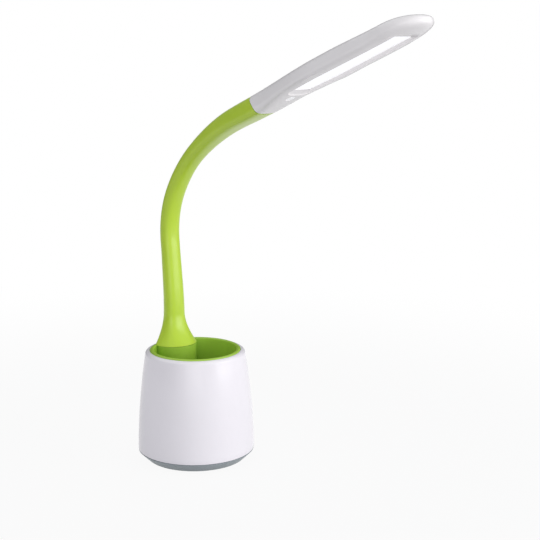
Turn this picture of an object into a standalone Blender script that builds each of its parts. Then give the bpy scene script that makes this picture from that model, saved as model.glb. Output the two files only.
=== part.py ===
"""Desk lamp with a pen holder in its base and a silicone-sleeved gooseneck.

Metres, +Z up. The origin is the centre of the base's underside, on the table.
+X is the lamp's front, the side that the head reaches over, and +Y is its left.
"""

import math

import bmesh
import bpy
from mathutils import Matrix, Vector

MM = 0.001

# Clearances and overruns
GAP = 0.3 * MM
OVERRUN = 2 * MM
BORE_PLAY = 0.4 * MM

# Round base and pen cup
CUP_RADIUS = 60 * MM
CUP_DRAW_IN = 8.6 * MM
CUP_DRAW_POWER = 1.8
SHELL_WALL = 2.4 * MM
SHELL_FOOT_Z = 11 * MM
RIM_Z = 115 * MM
LIP_HEIGHT = 3.4 * MM
LIP_WIDTH = 4.6 * MM
REBATE_DEPTH = 3 * MM
REBATE_WIDTH = 2 * MM
LIP_FLANGE = 2.4 * MM
WALL_BANDS = 6
BASE_TURN_STEPS = 36

# Base plate, pad and ballast
PLATE_BOTTOM_Z = 1.2 * MM
PLATE_CHAMFER = 9.6 * MM
PLATE_FLOOR = 3 * MM
PLATE_SPIGOT_WALL = 1.8 * MM
PLATE_SPIGOT_HEIGHT = 4 * MM
PAD_MARGIN = 4.4 * MM
PAD_RECESS = 0.9 * MM
BALLAST_MARGIN = 10 * MM
BALLAST_THICKNESS = 8 * MM
BALLAST_FLAT_MARGIN = 5.5 * MM

# Green pen liner
BEAD_WIDTH = 4 * MM
BEAD_RISE = 2.4 * MM
LINER_WALL = 1.9 * MM
LINER_DRAFT = 1.4 * MM
LINER_FLOOR_Z = 42 * MM
LINER_FLOOR_THICKNESS = 2.2 * MM
TOWER_RADIUS = 22.6 * MM
TOWER_WALL = 2 * MM
DECK_THICKNESS = 3.2 * MM
POST_RADIUS = 4 * MM
POST_SHARE = 0.55
POST_ANGLES = (math.radians(0), math.radians(115), math.radians(245))
PILOT_RADIUS = 1.3 * MM
PILOT_DEPTH = 12 * MM

# Screws
BASE_SCREW_RADIUS = 1.2 * MM
BASE_SCREW_HEAD_RADIUS = 2.8 * MM
BASE_SCREW_HEAD = 1.6 * MM
SMALL_SCREW_RADIUS = 0.9 * MM
SMALL_SCREW_HEAD_RADIUS = 1.9 * MM
SMALL_SCREW_HEAD = 1.1 * MM
SMALL_SCREW_LENGTH = 5.5 * MM

# Control board and the sockets in the back of the base
BOARD_THICKNESS = 1.6 * MM
BOARD_WIDTH = 40 * MM
BOARD_BACK_MARGIN = 7 * MM
BOARD_FRONT_SHARE = 0.4
BOARD_BOTTOM_Z = 18 * MM
PILLAR_RADIUS = 3 * MM
PILLAR_INSET = 5 * MM
PILLAR_Y = 15 * MM
USB_WIDTH = 13.1 * MM
USB_HEIGHT = 5.7 * MM
USB_DEPTH = 14 * MM
USB_WALL = 0.5 * MM
USB_TONGUE_THICKNESS = 1.9 * MM
USB_TONGUE_INSET = 2 * MM
USB_Y = 9.5 * MM
JACK_WIDTH = 9 * MM
JACK_HEIGHT = 11 * MM
JACK_DEPTH = 12 * MM
JACK_NOSE_RADIUS = 4.2 * MM
JACK_BORE_RADIUS = 3.1 * MM
JACK_BORE_DEPTH = 9.5 * MM
JACK_PIN_RADIUS = 1 * MM
JACK_Y = -10.5 * MM
JACK_STANDOFF = 1.2 * MM
SOCKET_SINK = 0.8 * MM
HEADER_SIZE = 5 * MM

# Gooseneck centreline, from the deck to the head
NECK_INSET = 9.8 * MM
FOOT_RISE = 32 * MM
LEAN_LENGTH = 30 * MM
LEAN = math.radians(5.5)
STEM_LENGTH = 45.2 * MM
TIGHT_RADIUS = 90 * MM
TIGHT_TURN = math.radians(35.6)
MIDDLE_RADIUS = 148 * MM
MIDDLE_TURN = math.radians(22.4)
WIDE_RADIUS = 277 * MM
WIDE_TURN = math.radians(16.7)
REACH_LENGTH = 35.3 * MM

# Gooseneck links and where they pivot
PIVOT_COUNT = 7
FIRST_PIVOT = 32 * MM
PIVOT_STEP = 46.5 * MM
BALL_RADIUS = 4.2 * MM
SOCKET_RADIUS = 4.6 * MM
SOCKET_OUTER_RADIUS = 5.7 * MM
MOUTH_ANGLE = math.radians(62)
STEM_RADIUS = 2.4 * MM
LINK_RADIUS = 4.6 * MM
LEAD_RADIUS = 1 * MM
LEAD_PLAY = 0.3 * MM
LINK_TURN_STEPS = 10
LINK_ARC_STEPS = 4
CORE_BENDS = 4

# Silicone sleeve sections: half width across the lamp, towards the front, towards the back
SLEEVE_BORE_RADIUS = 6.2 * MM
FOOT_HALF_WIDTH = 23.5 * MM
FOOT_FRONT = 22 * MM
FOOT_BACK = 9.6 * MM
FOOT_SQUARENESS = 2.0
STEM_HALF_WIDTH = 10.1 * MM
STEM_FRONT = 8.1 * MM
STEM_BACK = 7.9 * MM
STEM_SQUARENESS = 2.2
END_HALF_WIDTH = 13 * MM
END_FRONT = 10.3 * MM
END_BACK = 9.9 * MM
END_SQUARENESS = 2.9
TAPER_LENGTH = 95 * MM
TAPER_HALF_WIDTH = 1.6 * MM
TAPER_FRONT = 0.6 * MM
TAPER_BACK = 2.6 * MM
FLARE_POWER = 2.3
FLARE_CROWDING = 1.6
MORPH_START = 190 * MM
MORPH_END = 335 * MM
SLEEVE_POINTS = 16

# Ferrule, washer and nut at the foot of the neck
FERRULE_FLANGE_RADIUS = 9 * MM
FERRULE_FLANGE = 2 * MM
THREAD_RADIUS = 5 * MM
THREAD_LENGTH = 14 * MM
WASHER_RADIUS = 7.4 * MM
WASHER_THICKNESS = 1 * MM
NUT_RADIUS = 7.3 * MM
NUT_THICKNESS = 4 * MM

# Lamp head, along its own axis from the end of the neck
HEAD_LENGTH = 221.5 * MM
HEAD_HALF_WIDTH = 25.5 * MM
HEAD_TIP_HALF_WIDTH = 22.5 * MM
HEAD_TOP = 10.4 * MM
HEAD_TOP_TIP = 8.6 * MM
HEAD_BOTTOM = 7 * MM
HEAD_WIDEN_LENGTH = 105 * MM
HEAD_WIDEN_LEAD = 26 * MM
HEAD_SLIM_LENGTH = 90 * MM
NOSE_LENGTH = 34 * MM
NOSE_ROUNDING = 0.58
HEAD_TOP_SQUARENESS = 2.7
HEAD_BOTTOM_SQUARENESS = 6
SLANT = math.radians(20)
SLANT_FADE = 24 * MM
HEAD_WALL = 1.8 * MM
HEAD_END_WALL = 3 * MM
BEZEL_HEIGHT = 2.8 * MM
HEAD_POINTS = 20
HEAD_STRETCHES = 7
HEAD_CROWDING = 1.15
NOSE_RING_ANGLES = (0, 24, 45, 62, 76, 86)

# Light window and what lies behind it
WINDOW_START_LEAD = 50 * MM
WINDOW_SHOULDER_LEAD = 11 * MM
WINDOW_TIP_MARGIN = 28.5 * MM
WINDOW_HALF_START = 12 * MM
WINDOW_HALF_WIDTH = 19.6 * MM
WINDOW_HALF_END = 15 * MM
WINDOW_CORNER = 4 * MM
DIFFUSER_LAP = 1.8 * MM
DIFFUSER_THICKNESS = 1.5 * MM
LIGHT_GAP = 2 * MM
LED_BOARD_THICKNESS = 1 * MM
LED_BOARD_HALF_WIDTH = 9.5 * MM
LED_BOARD_OVERHANG = 7 * MM
LED_SIZE = 3 * MM
LED_HEIGHT = 0.7 * MM
LED_ROWS = 2
LED_COLUMNS = 7
LED_ROW_SPACING = 10 * MM
SPREADER_THICKNESS = 1 * MM
SPREADER_HALF_WIDTH = 13 * MM
SPREADER_CORNER = 6.5 * MM
BOSS_RADIUS = 2.6 * MM
BOSS_PILOT_DEPTH = 2.6 * MM

# Round touch switch between the neck and the window
TOUCH_MARGIN = 14.5 * MM
TOUCH_RADIUS = 4.3 * MM
TOUCH_BOARD_SIZE = 10 * MM
TOUCH_BOARD_THICKNESS = 1 * MM

# Values that follow from those above
LIP_INNER_RADIUS = CUP_RADIUS - CUP_DRAW_IN - LIP_WIDTH
PAD_RADIUS = CUP_RADIUS - PLATE_CHAMFER - PAD_MARGIN
BALLAST_RADIUS = CUP_RADIUS - BALLAST_MARGIN
POST_CIRCLE = CUP_RADIUS * POST_SHARE
BOARD_BACK_X = BOARD_BACK_MARGIN - CUP_RADIUS
BOARD_FRONT_X = -CUP_RADIUS * BOARD_FRONT_SHARE
PILLAR_X = BOARD_FRONT_X - PILLAR_INSET
BALLAST_FLAT_X = PILLAR_X + PILLAR_RADIUS + BALLAST_FLAT_MARGIN
NECK_X = NECK_INSET - LIP_INNER_RADIUS
WINDOW_START = HEAD_WIDEN_LENGTH - WINDOW_START_LEAD
WINDOW_SHOULDER = HEAD_WIDEN_LENGTH - WINDOW_SHOULDER_LEAD
WINDOW_END = HEAD_LENGTH - WINDOW_TIP_MARGIN
TOUCH_X = WINDOW_START - TOUCH_MARGIN
PLATE_TOP_Z = SHELL_FOOT_Z - GAP
PLATE_FLOOR_Z = PLATE_BOTTOM_Z + PLATE_FLOOR
BALLAST_BOTTOM_Z = PLATE_FLOOR_Z + GAP
BOARD_TOP_Z = BOARD_BOTTOM_Z + BOARD_THICKNESS
LINER_RADIUS = LIP_INNER_RADIUS - REBATE_WIDTH - GAP
BEAD_RADIUS = LIP_INNER_RADIUS - GAP
LIP_LEDGE_Z = RIM_Z - REBATE_DEPTH
LEAD_BORE_RADIUS = LEAD_RADIUS + LEAD_PLAY
PARTING_Z = -HEAD_BOTTOM + BEZEL_HEIGHT
BEZEL_FLOOR_Z = -HEAD_BOTTOM + HEAD_WALL
DIFFUSER_BOTTOM_Z = BEZEL_FLOOR_Z + GAP
DIFFUSER_TOP_Z = DIFFUSER_BOTTOM_Z + DIFFUSER_THICKNESS
LED_BOARD_BOTTOM_Z = DIFFUSER_TOP_Z + LIGHT_GAP
LED_BOARD_TOP_Z = LED_BOARD_BOTTOM_Z + LED_BOARD_THICKNESS
SPREADER_BOTTOM_Z = LED_BOARD_TOP_Z + GAP
SPREADER_TOP_Z = SPREADER_BOTTOM_Z + SPREADER_THICKNESS
HEAD_HOLLOW_X = HEAD_END_WALL + END_FRONT * math.tan(SLANT)


# Scene, collections and materials


def clear_scene():
    """Remove every object, so that the script can be run again."""
    for old in list(bpy.data.objects):
        bpy.data.objects.remove(old, do_unlink=True)


def new_collection(name):
    """A fresh collection of this name in the scene."""
    old = bpy.data.collections.get(name)
    if old:
        bpy.data.collections.remove(old)
    made = bpy.data.collections.new(name)
    bpy.context.scene.collection.children.link(made)
    return made


clear_scene()
LAMP = new_collection("desk_lamp")
CUTTERS = new_collection("cutters")


def material(name, colour, roughness, metallic=0.0):
    """A Principled material with a plain colour."""
    made = bpy.data.materials.new(name)
    made.use_nodes = True
    shader = made.node_tree.nodes["Principled BSDF"]
    shader.inputs["Base Color"].default_value = (*colour, 1.0)
    shader.inputs["Roughness"].default_value = roughness
    shader.inputs["Metallic"].default_value = metallic
    made.diffuse_color = (*colour, 1.0)
    return made


GLOSS_WHITE = ("gloss_white", (0.84, 0.84, 0.85), 0.12)
COOL_GREY = ("cool_grey", (0.24, 0.27, 0.28), 0.45)
LIME_PLASTIC = ("lime_plastic", (0.32, 0.58, 0.05), 0.35)
LIME_SILICONE = ("lime_silicone", (0.38, 0.60, 0.04), 0.5)
RUBBER = ("rubber", (0.03, 0.03, 0.03), 0.8)
STEEL = ("steel", (0.55, 0.56, 0.58), 0.3, 1.0)
BOARD_GREEN = ("circuit_board", (0.02, 0.16, 0.06), 0.5)
BOARD_WHITE = ("white_board", (0.8, 0.8, 0.78), 0.5)
DIFFUSER_WHITE = ("diffuser_white", (0.9, 0.91, 0.93), 0.3)
BLACK_PLASTIC = ("black_plastic", (0.02, 0.02, 0.02), 0.4)
ALUMINIUM = ("aluminium", (0.75, 0.76, 0.78), 0.35, 1.0)
PALE_GREY = ("pale_grey", (0.62, 0.64, 0.68), 0.4)


# Helpers that make, cut and join solids


def add_object(name, mesh, finish, parent=None):
    """Link a mesh as one named part of the lamp, with its own material."""
    made = bpy.data.objects.new(name, mesh)
    LAMP.objects.link(made)
    colour_name, *values = finish
    mesh.materials.clear()
    mesh.materials.append(material(f"{name}_{colour_name}", *values))
    made.parent = parent
    return made


def add_cutter(name, mesh, parent=None):
    """Link a mesh as a hidden cutter or guide."""
    made = bpy.data.objects.new(name, mesh)
    CUTTERS.objects.link(made)
    made.hide_render = True
    made.display_type = "WIRE"
    made.parent = parent
    return made


def boolean(target, tool, operation):
    """Cut, join or intersect target with tool by a live modifier."""
    step = target.modifiers.new(f"{operation.lower()}_{tool.name}", "BOOLEAN")
    step.object = tool
    step.operation = operation
    step.solver = "EXACT"


def settled_mesh(thing):
    """The evaluated mesh of an object, as a mesh of its own, with doubles merged."""
    bpy.context.view_layer.update()
    graph = bpy.context.evaluated_depsgraph_get()
    mesh = bpy.data.meshes.new_from_object(thing.evaluated_get(graph), depsgraph=graph)
    work = bmesh.new()
    work.from_mesh(mesh)
    bmesh.ops.remove_doubles(work, verts=work.verts, dist=0.00001)
    work.to_mesh(mesh)
    work.free()
    return mesh


def turned_mesh(profile, steps):
    """Turn a profile of (radius, height) about Z. It runs down its outer side first."""
    outline = bpy.data.meshes.new("profile")
    on_axis = profile[0][0] == 0 and profile[-1][0] == 0
    edges = [(k, k + 1) for k in range(len(profile) - 1)]
    if not on_axis:
        edges.append((len(profile) - 1, 0))
    outline.from_pydata([(radius, 0, height) for radius, height in profile], edges, [])
    guide = add_cutter("turning", outline)
    screw = guide.modifiers.new("turn", "SCREW")
    screw.steps = steps
    screw.render_steps = steps
    screw.use_merge_vertices = True
    screw.merge_threshold = 0.00001
    mesh = settled_mesh(guide)
    bpy.data.objects.remove(guide)
    return smooth(mesh)


def smooth(mesh, angle=math.radians(35)):
    """Shade a mesh smooth, but keep its real edges sharp."""
    mesh.shade_smooth()
    mesh.set_sharp_from_angle(angle=angle)
    return mesh


def moved(mesh, offset=(0, 0, 0), matrix=None):
    """Move or turn a mesh's points in place."""
    mesh.transform(Matrix.Translation(offset) if matrix is None else matrix)
    return mesh


def box_mesh(low, high):
    """A box between two opposite corners."""
    low, high = Vector(low), Vector(high)
    work = bmesh.new()
    bmesh.ops.create_cube(work, size=1)
    bmesh.ops.scale(work, vec=high - low, verts=work.verts)
    bmesh.ops.translate(work, vec=(low + high) / 2, verts=work.verts)
    mesh = bpy.data.meshes.new("box")
    work.to_mesh(mesh)
    work.free()
    return mesh


def rod_mesh(radius, z_low, z_high, centre=(0, 0), sides=20):
    """An upright cylinder, or a hexagon where it has six sides."""
    work = bmesh.new()
    bmesh.ops.create_cone(
        work,
        cap_ends=True,
        segments=sides,
        radius1=radius,
        radius2=radius,
        depth=z_high - z_low,
    )
    place = (centre[0], centre[1], (z_low + z_high) / 2)
    bmesh.ops.translate(work, vec=place, verts=work.verts)
    mesh = bpy.data.meshes.new("rod")
    work.to_mesh(mesh)
    work.free()
    return smooth(mesh)


def joined(meshes):
    """One mesh that holds several separate closed shapes."""
    work = bmesh.new()
    for mesh in meshes:
        work.from_mesh(mesh)
    whole = bpy.data.meshes.new("joined")
    work.to_mesh(whole)
    work.free()
    return whole


def loft_mesh(rings, ring_shaped=False):
    """Skin rings of points. The ends are capped, or meet where the loft is ring-shaped."""
    work = bmesh.new()
    rows = [[work.verts.new(point) for point in ring] for ring in rings]
    count = len(rows[0])
    pairs = list(zip(rows, rows[1:]))
    if ring_shaped:
        pairs.append((rows[-1], rows[0]))
    else:
        work.faces.new(rows[0])
        work.faces.new(rows[-1])
    for row, following in pairs:
        for k in range(count):
            beside = (k + 1) % count
            work.faces.new((row[k], row[beside], following[beside], following[k]))
    bmesh.ops.recalc_face_normals(work, faces=work.faces)
    mesh = bpy.data.meshes.new("loft")
    work.to_mesh(mesh)
    work.free()
    return smooth(mesh)


def flat_mesh(points, z_low, z_high):
    """A plate of this outline, from a flat curve with thickness."""
    curve = bpy.data.curves.new("outline", "CURVE")
    curve.dimensions = "2D"
    curve.fill_mode = "BOTH"
    curve.extrude = (z_high - z_low) / 2
    spline = curve.splines.new("POLY")
    spline.points.add(len(points) - 1)
    for point, (x, y) in zip(spline.points, points):
        point.co = (x, y, 0, 1)
    spline.use_cyclic_u = True
    guide = bpy.data.objects.new("outline", curve)
    CUTTERS.objects.link(guide)
    mesh = settled_mesh(guide)
    bpy.data.objects.remove(guide)
    return moved(mesh, (0, 0, (z_low + z_high) / 2))


def lead_mesh(points):
    """A round lead through these points, with closed ends."""
    curve = bpy.data.curves.new("lead", "CURVE")
    curve.dimensions = "3D"
    curve.bevel_depth = LEAD_RADIUS
    curve.bevel_resolution = 2
    curve.use_fill_caps = True
    spline = curve.splines.new("POLY")
    spline.points.add(len(points) - 1)
    for point, place in zip(spline.points, points):
        point.co = (*place, 1)
    guide = bpy.data.objects.new("lead", curve)
    CUTTERS.objects.link(guide)
    mesh = settled_mesh(guide)
    bpy.data.objects.remove(guide)
    return smooth(mesh)


def arc(centre, radius_across, radius_up, start, end, steps):
    """Points of an elliptic arc, angles from the +X side towards +Z."""
    points = []
    for k in range(steps + 1):
        angle = start + (end - start) * k / steps
        across = centre[0] + radius_across * math.cos(angle)
        points.append((across, centre[1] + radius_up * math.sin(angle)))
    return points


def eased(value, start, end):
    """0 before start, 1 after end, and a smooth step between them."""
    share = min(max((value - start) / (end - start), 0), 1)
    return share * share * (3 - 2 * share)


def between(first, second, share):
    """The value at this share of the way from first to second."""
    return first + (second - first) * share


def filleted(corners, radius, steps=4):
    """A closed outline through these corners, each rounded by an arc of this radius."""
    outline = []
    count = len(corners)
    for k, corner in enumerate(corners):
        here = Vector(corner)
        before = (Vector(corners[k - 1]) - here).normalized()
        after = (Vector(corners[(k + 1) % count]) - here).normalized()
        half = before.angle(after) / 2
        centre = here + (before + after).normalized() * radius / math.sin(half)
        start = here + before * radius / math.tan(half) - centre
        end = here + after * radius / math.tan(half) - centre
        for step in range(steps + 1):
            spoke = start.lerp(end, step / steps).normalized() * radius
            outline.append(tuple(centre + spoke))
    return outline


# Base: shell, plate, ballast, pad and pen liner


def cup_radius(height):
    """Outer radius of the white shell, which draws in towards the rim."""
    share = (height - SHELL_FOOT_Z) / (RIM_Z - LIP_HEIGHT - SHELL_FOOT_Z)
    return CUP_RADIUS - CUP_DRAW_IN * max(share, 0) ** CUP_DRAW_POWER


def shell_profile():
    """Cross-section of the shell: lip, outer wall, inner wall and the ledge for the liner."""
    lip_z = RIM_Z - LIP_HEIGHT
    lip_width = cup_radius(lip_z) - LIP_INNER_RADIUS
    lip = arc((LIP_INNER_RADIUS, lip_z), lip_width, LIP_HEIGHT, math.pi / 2, 0, 4)
    heights = [between(lip_z, SHELL_FOOT_Z, k / WALL_BANDS) for k in range(1, WALL_BANDS + 1)]
    outside = [(cup_radius(z), z) for z in heights]
    inside = [(cup_radius(z) - SHELL_WALL, z) for z in reversed(heights[1::2])]
    flange_z = LIP_LEDGE_Z - LIP_FLANGE
    ledge_radius = LIP_INNER_RADIUS - REBATE_WIDTH
    under = [(cup_radius(flange_z) - SHELL_WALL, flange_z), (ledge_radius, flange_z)]
    ledge = [(ledge_radius, LIP_LEDGE_Z), (LIP_INNER_RADIUS, LIP_LEDGE_Z)]
    return lip + outside + inside + under + ledge


def socket_openings():
    """Cutters for the two holes low in the back of the shell."""
    usb_low = (-CUP_RADIUS - OVERRUN, USB_Y - USB_WIDTH / 2 - GAP, BOARD_TOP_Z)
    usb_high = (-PLATE_TOP_Z, USB_Y + USB_WIDTH / 2 + GAP, BOARD_TOP_Z + USB_HEIGHT + 2 * GAP)
    usb = box_mesh(usb_low, (BOARD_BACK_X + OVERRUN, *usb_high[1:]))
    jack = rod_mesh(JACK_NOSE_RADIUS + GAP, 0, CUP_RADIUS + BOARD_BACK_X + 2 * OVERRUN)
    turn = Matrix.Rotation(math.pi / 2, 4, "Y")
    jack_z = BOARD_TOP_Z + GAP + JACK_HEIGHT / 2
    place = Matrix.Translation((-CUP_RADIUS - OVERRUN, JACK_Y, jack_z)) @ turn
    return joined([usb, moved(jack, matrix=place)])


def build_outer_shell():
    """White tapered shell with a rounded lip and two socket holes at the back."""
    shell = add_object("outer_shell", turned_mesh(shell_profile(), BASE_TURN_STEPS), GLOSS_WHITE)
    boolean(shell, add_cutter("socket_holes", socket_openings()), "DIFFERENCE")


def post_places():
    """Where the liner's three screw posts stand."""
    return [(POST_CIRCLE * math.cos(a), POST_CIRCLE * math.sin(a)) for a in POST_ANGLES]


def build_base_plate():
    """Grey bottom with a chamfered edge, a spigot inside the shell and board pillars."""
    inner_radius = CUP_RADIUS - SHELL_WALL - GAP
    spigot_top = PLATE_TOP_Z + PLATE_SPIGOT_HEIGHT
    recess_z = PLATE_BOTTOM_Z + PAD_RECESS
    profile = [
        (inner_radius, spigot_top),
        (inner_radius, PLATE_TOP_Z),
        (CUP_RADIUS, PLATE_TOP_Z),
        (CUP_RADIUS - PLATE_CHAMFER, PLATE_BOTTOM_Z),
        (PAD_RADIUS + GAP, PLATE_BOTTOM_Z),
        (PAD_RADIUS + GAP, recess_z),
        (0, recess_z),
    ]
    rise = [
        (0, PLATE_FLOOR_Z),
        (BALLAST_RADIUS + GAP, PLATE_FLOOR_Z),
        (inner_radius - PLATE_SPIGOT_WALL, PLATE_TOP_Z),
        (inner_radius - PLATE_SPIGOT_WALL, spigot_top),
    ]
    plate = add_object("base_plate", turned_mesh(rise + profile, BASE_TURN_STEPS), COOL_GREY)
    pillars = []
    for side in (-1, 1):
        place = (PILLAR_X, side * PILLAR_Y)
        pillar = rod_mesh(PILLAR_RADIUS, recess_z + GAP, BOARD_BOTTOM_Z - GAP, place, 16)
        pillars.append(pillar)
    boolean(plate, add_cutter("board_pillars", joined(pillars)), "UNION")
    holes = []
    for place in post_places():
        holes.append(rod_mesh(BASE_SCREW_RADIUS + BORE_PLAY, 0, BALLAST_BOTTOM_Z, place, 12))
        head_top = recess_z + BASE_SCREW_HEAD
        holes.append(rod_mesh(BASE_SCREW_HEAD_RADIUS + GAP, 0, head_top, place, 16))
    for k, hole in enumerate(holes):
        boolean(plate, add_cutter(f"screw_hole_{k}", hole), "DIFFERENCE")
    for side in (-1, 1):
        place = (PILLAR_X, side * PILLAR_Y)
        bottom = BOARD_TOP_Z - SMALL_SCREW_LENGTH - GAP
        pilot = rod_mesh(SMALL_SCREW_RADIUS + GAP, bottom, BOARD_TOP_Z, place, 10)
        boolean(plate, add_cutter(f"pillar_pilot_{side}", pilot), "DIFFERENCE")


def build_base_pad():
    """Anti-slip rubber disc under the base, in a shallow recess."""
    top = PLATE_BOTTOM_Z + PAD_RECESS - GAP
    add_object("base_pad", rod_mesh(PAD_RADIUS, 0, top, sides=BASE_TURN_STEPS), RUBBER)


def build_ballast():
    """Steel weight on the base plate, with a flat at the back and holes for the posts."""
    top = BALLAST_BOTTOM_Z + BALLAST_THICKNESS
    disc = rod_mesh(BALLAST_RADIUS, BALLAST_BOTTOM_Z, top, sides=BASE_TURN_STEPS)
    plate = add_object("ballast_plate", disc, STEEL)
    low = (-CUP_RADIUS, -CUP_RADIUS, 0)
    chord = box_mesh(low, (BALLAST_FLAT_X, CUP_RADIUS, top + OVERRUN))
    boolean(plate, add_cutter("ballast_flat", chord), "DIFFERENCE")
    holes = [
        rod_mesh(POST_RADIUS + BORE_PLAY, 0, top + OVERRUN, place, 16)
        for place in post_places()
    ]
    boolean(plate, add_cutter("ballast_holes", joined(holes)), "DIFFERENCE")


def liner_radius(height, inset):
    """Outer radius of the liner's drafted wall, less an inset."""
    share = (RIM_Z - height) / (RIM_Z - LINER_FLOOR_Z)
    return LINER_RADIUS - LINER_DRAFT * share - inset


def build_pen_liner():
    """Green cup with a rounded bead, a deck round the neck, a hollow tower and screw posts."""
    bottom = LINER_FLOOR_Z - LINER_FLOOR_THICKNESS
    bead_inner = BEAD_RADIUS - BEAD_WIDTH
    bead = arc(
        (BEAD_RADIUS - BEAD_WIDTH / 2, RIM_Z),
        BEAD_WIDTH / 2,
        BEAD_RISE,
        math.pi,
        0,
        5,
    )
    outside = [
        (BEAD_RADIUS, LIP_LEDGE_Z + GAP),
        (LINER_RADIUS, LIP_LEDGE_Z + GAP),
        (liner_radius(bottom, 0), bottom),
        (0, bottom),
    ]
    profile = [(0, RIM_Z), (bead_inner, RIM_Z)] + bead[1:] + outside
    liner = add_object("pen_liner", turned_mesh(profile, BASE_TURN_STEPS), LIME_PLASTIC)

    mouth = [
        (0, RIM_Z + BEAD_RISE + OVERRUN),
        (bead_inner, RIM_Z + BEAD_RISE + OVERRUN),
        (bead_inner, RIM_Z),
        (liner_radius(LINER_FLOOR_Z, LINER_WALL), LINER_FLOOR_Z),
        (0, LINER_FLOOR_Z),
    ]
    space = add_cutter("pen_space", turned_mesh(mouth, BASE_TURN_STEPS))
    tower_top = RIM_Z + BEAD_RISE + 2 * OVERRUN
    tower = rod_mesh(TOWER_RADIUS, 0, tower_top, (NECK_X, 0), 32)
    boolean(space, add_cutter("tower_outside", tower), "DIFFERENCE")
    boolean(liner, space, "DIFFERENCE")

    hollow_top = RIM_Z - DECK_THICKNESS
    hollow = rod_mesh(TOWER_RADIUS - TOWER_WALL, 0, hollow_top, (NECK_X, 0), 32)
    boolean(liner, add_cutter("tower_hollow", hollow), "DIFFERENCE")
    hole = rod_mesh(THREAD_RADIUS + GAP, 0, RIM_Z + OVERRUN, (NECK_X, 0), 20)
    boolean(liner, add_cutter("ferrule_hole", hole), "DIFFERENCE")
    seat = loft_mesh([foot_seat_ring(RIM_Z), foot_seat_ring(RIM_Z + BEAD_RISE + OVERRUN)])
    boolean(liner, add_cutter("foot_seat", seat), "DIFFERENCE")

    posts = [
        rod_mesh(POST_RADIUS, BALLAST_BOTTOM_Z, bottom + LINER_FLOOR_THICKNESS / 2, place, 16)
        for place in post_places()
    ]
    boolean(liner, add_cutter("screw_posts", joined(posts)), "UNION")
    pilot_top = BALLAST_BOTTOM_Z + PILOT_DEPTH + OVERRUN
    pilots = [rod_mesh(PILOT_RADIUS, 0, pilot_top, place, 12) for place in post_places()]
    boolean(liner, add_cutter("post_pilots", joined(pilots)), "DIFFERENCE")


def screw_mesh(length, radius, head_radius, head):
    """A pan-head screw that stands on its head, tip upwards."""
    shank_top = head + length
    profile = [
        (0, shank_top),
        (radius, shank_top - radius),
        (radius, head),
        (head_radius, head),
        (head_radius, head / 3),
        (head_radius * 2 / 3, 0),
        (0, 0),
    ]
    return turned_mesh(profile, 10)


def build_base_screws():
    """Three screws from below, through the plate into the liner's posts."""
    head_top = PLATE_BOTTOM_Z + PAD_RECESS + BASE_SCREW_HEAD
    for number, (x, y) in enumerate(post_places(), 1):
        sizes = (BASE_SCREW_RADIUS, BASE_SCREW_HEAD_RADIUS, BASE_SCREW_HEAD)
        screw = screw_mesh(PILOT_DEPTH, *sizes)
        moved(screw, (x, y, head_top - BASE_SCREW_HEAD - GAP))
        add_object(f"base_screw_{number}", screw, STEEL)


def build_control_board():
    """Board on the two pillars, with a header block for the lead."""
    low = (BOARD_BACK_X, -BOARD_WIDTH / 2, BOARD_BOTTOM_Z)
    high = (BOARD_FRONT_X, BOARD_WIDTH / 2, BOARD_TOP_Z)
    board = add_object("control_board", box_mesh(low, high), BOARD_GREEN)
    half = HEADER_SIZE / 2
    low = (NECK_X - half, -half, BOARD_TOP_Z - BOARD_THICKNESS / 2)
    header = box_mesh(low, (NECK_X + half, half, BOARD_TOP_Z + HEADER_SIZE))
    boolean(board, add_cutter("lead_header", header), "UNION")
    holes = [
        rod_mesh(SMALL_SCREW_RADIUS + GAP, 0, BOARD_TOP_Z + OVERRUN, (PILLAR_X, y), 10)
        for y in (-PILLAR_Y, PILLAR_Y)
    ]
    boolean(board, add_cutter("board_holes", joined(holes)), "DIFFERENCE")
    for number, y in enumerate((-PILLAR_Y, PILLAR_Y), 1):
        sizes = (SMALL_SCREW_RADIUS, SMALL_SCREW_HEAD_RADIUS, SMALL_SCREW_HEAD)
        screw = screw_mesh(SMALL_SCREW_LENGTH - 2 * GAP, *sizes)
        flip = Matrix.Rotation(math.pi, 4, "X")
        place = Matrix.Translation((PILLAR_X, y, BOARD_TOP_Z + GAP + SMALL_SCREW_HEAD))
        add_object(f"board_screw_{number}", moved(screw, matrix=place @ flip), STEEL)


def wall_x(radius, y):
    """Where a round wall of this radius lies behind a place y to the side."""
    return -math.sqrt(radius**2 - y**2)


def build_usb_socket():
    """Metal charging socket with its inner tongue, open to the back."""
    x = wall_x(CUP_RADIUS, USB_Y + USB_WIDTH / 2) + SOCKET_SINK
    z = BOARD_TOP_Z + GAP
    low = Vector((x, USB_Y - USB_WIDTH / 2, z))
    high = Vector((x + USB_DEPTH, USB_Y + USB_WIDTH / 2, z + USB_HEIGHT))
    socket = add_object("usb_socket", box_mesh(low, high), STEEL)
    wall = Vector((USB_WALL, USB_WALL, USB_WALL))
    mouth_low = low + wall - Vector((OVERRUN, 0, 0))
    mouth = add_cutter("usb_mouth", box_mesh(mouth_low, high - wall))
    boolean(socket, mouth, "DIFFERENCE")
    tongue_low = (x + USB_TONGUE_INSET, low.y + 2 * USB_WALL, high.z - 2 * USB_TONGUE_THICKNESS)
    tongue_high = (high.x - USB_WALL / 2, high.y - 2 * USB_WALL, high.z - USB_TONGUE_THICKNESS)
    boolean(socket, add_cutter("usb_tongue", box_mesh(tongue_low, tongue_high)), "UNION")


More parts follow.
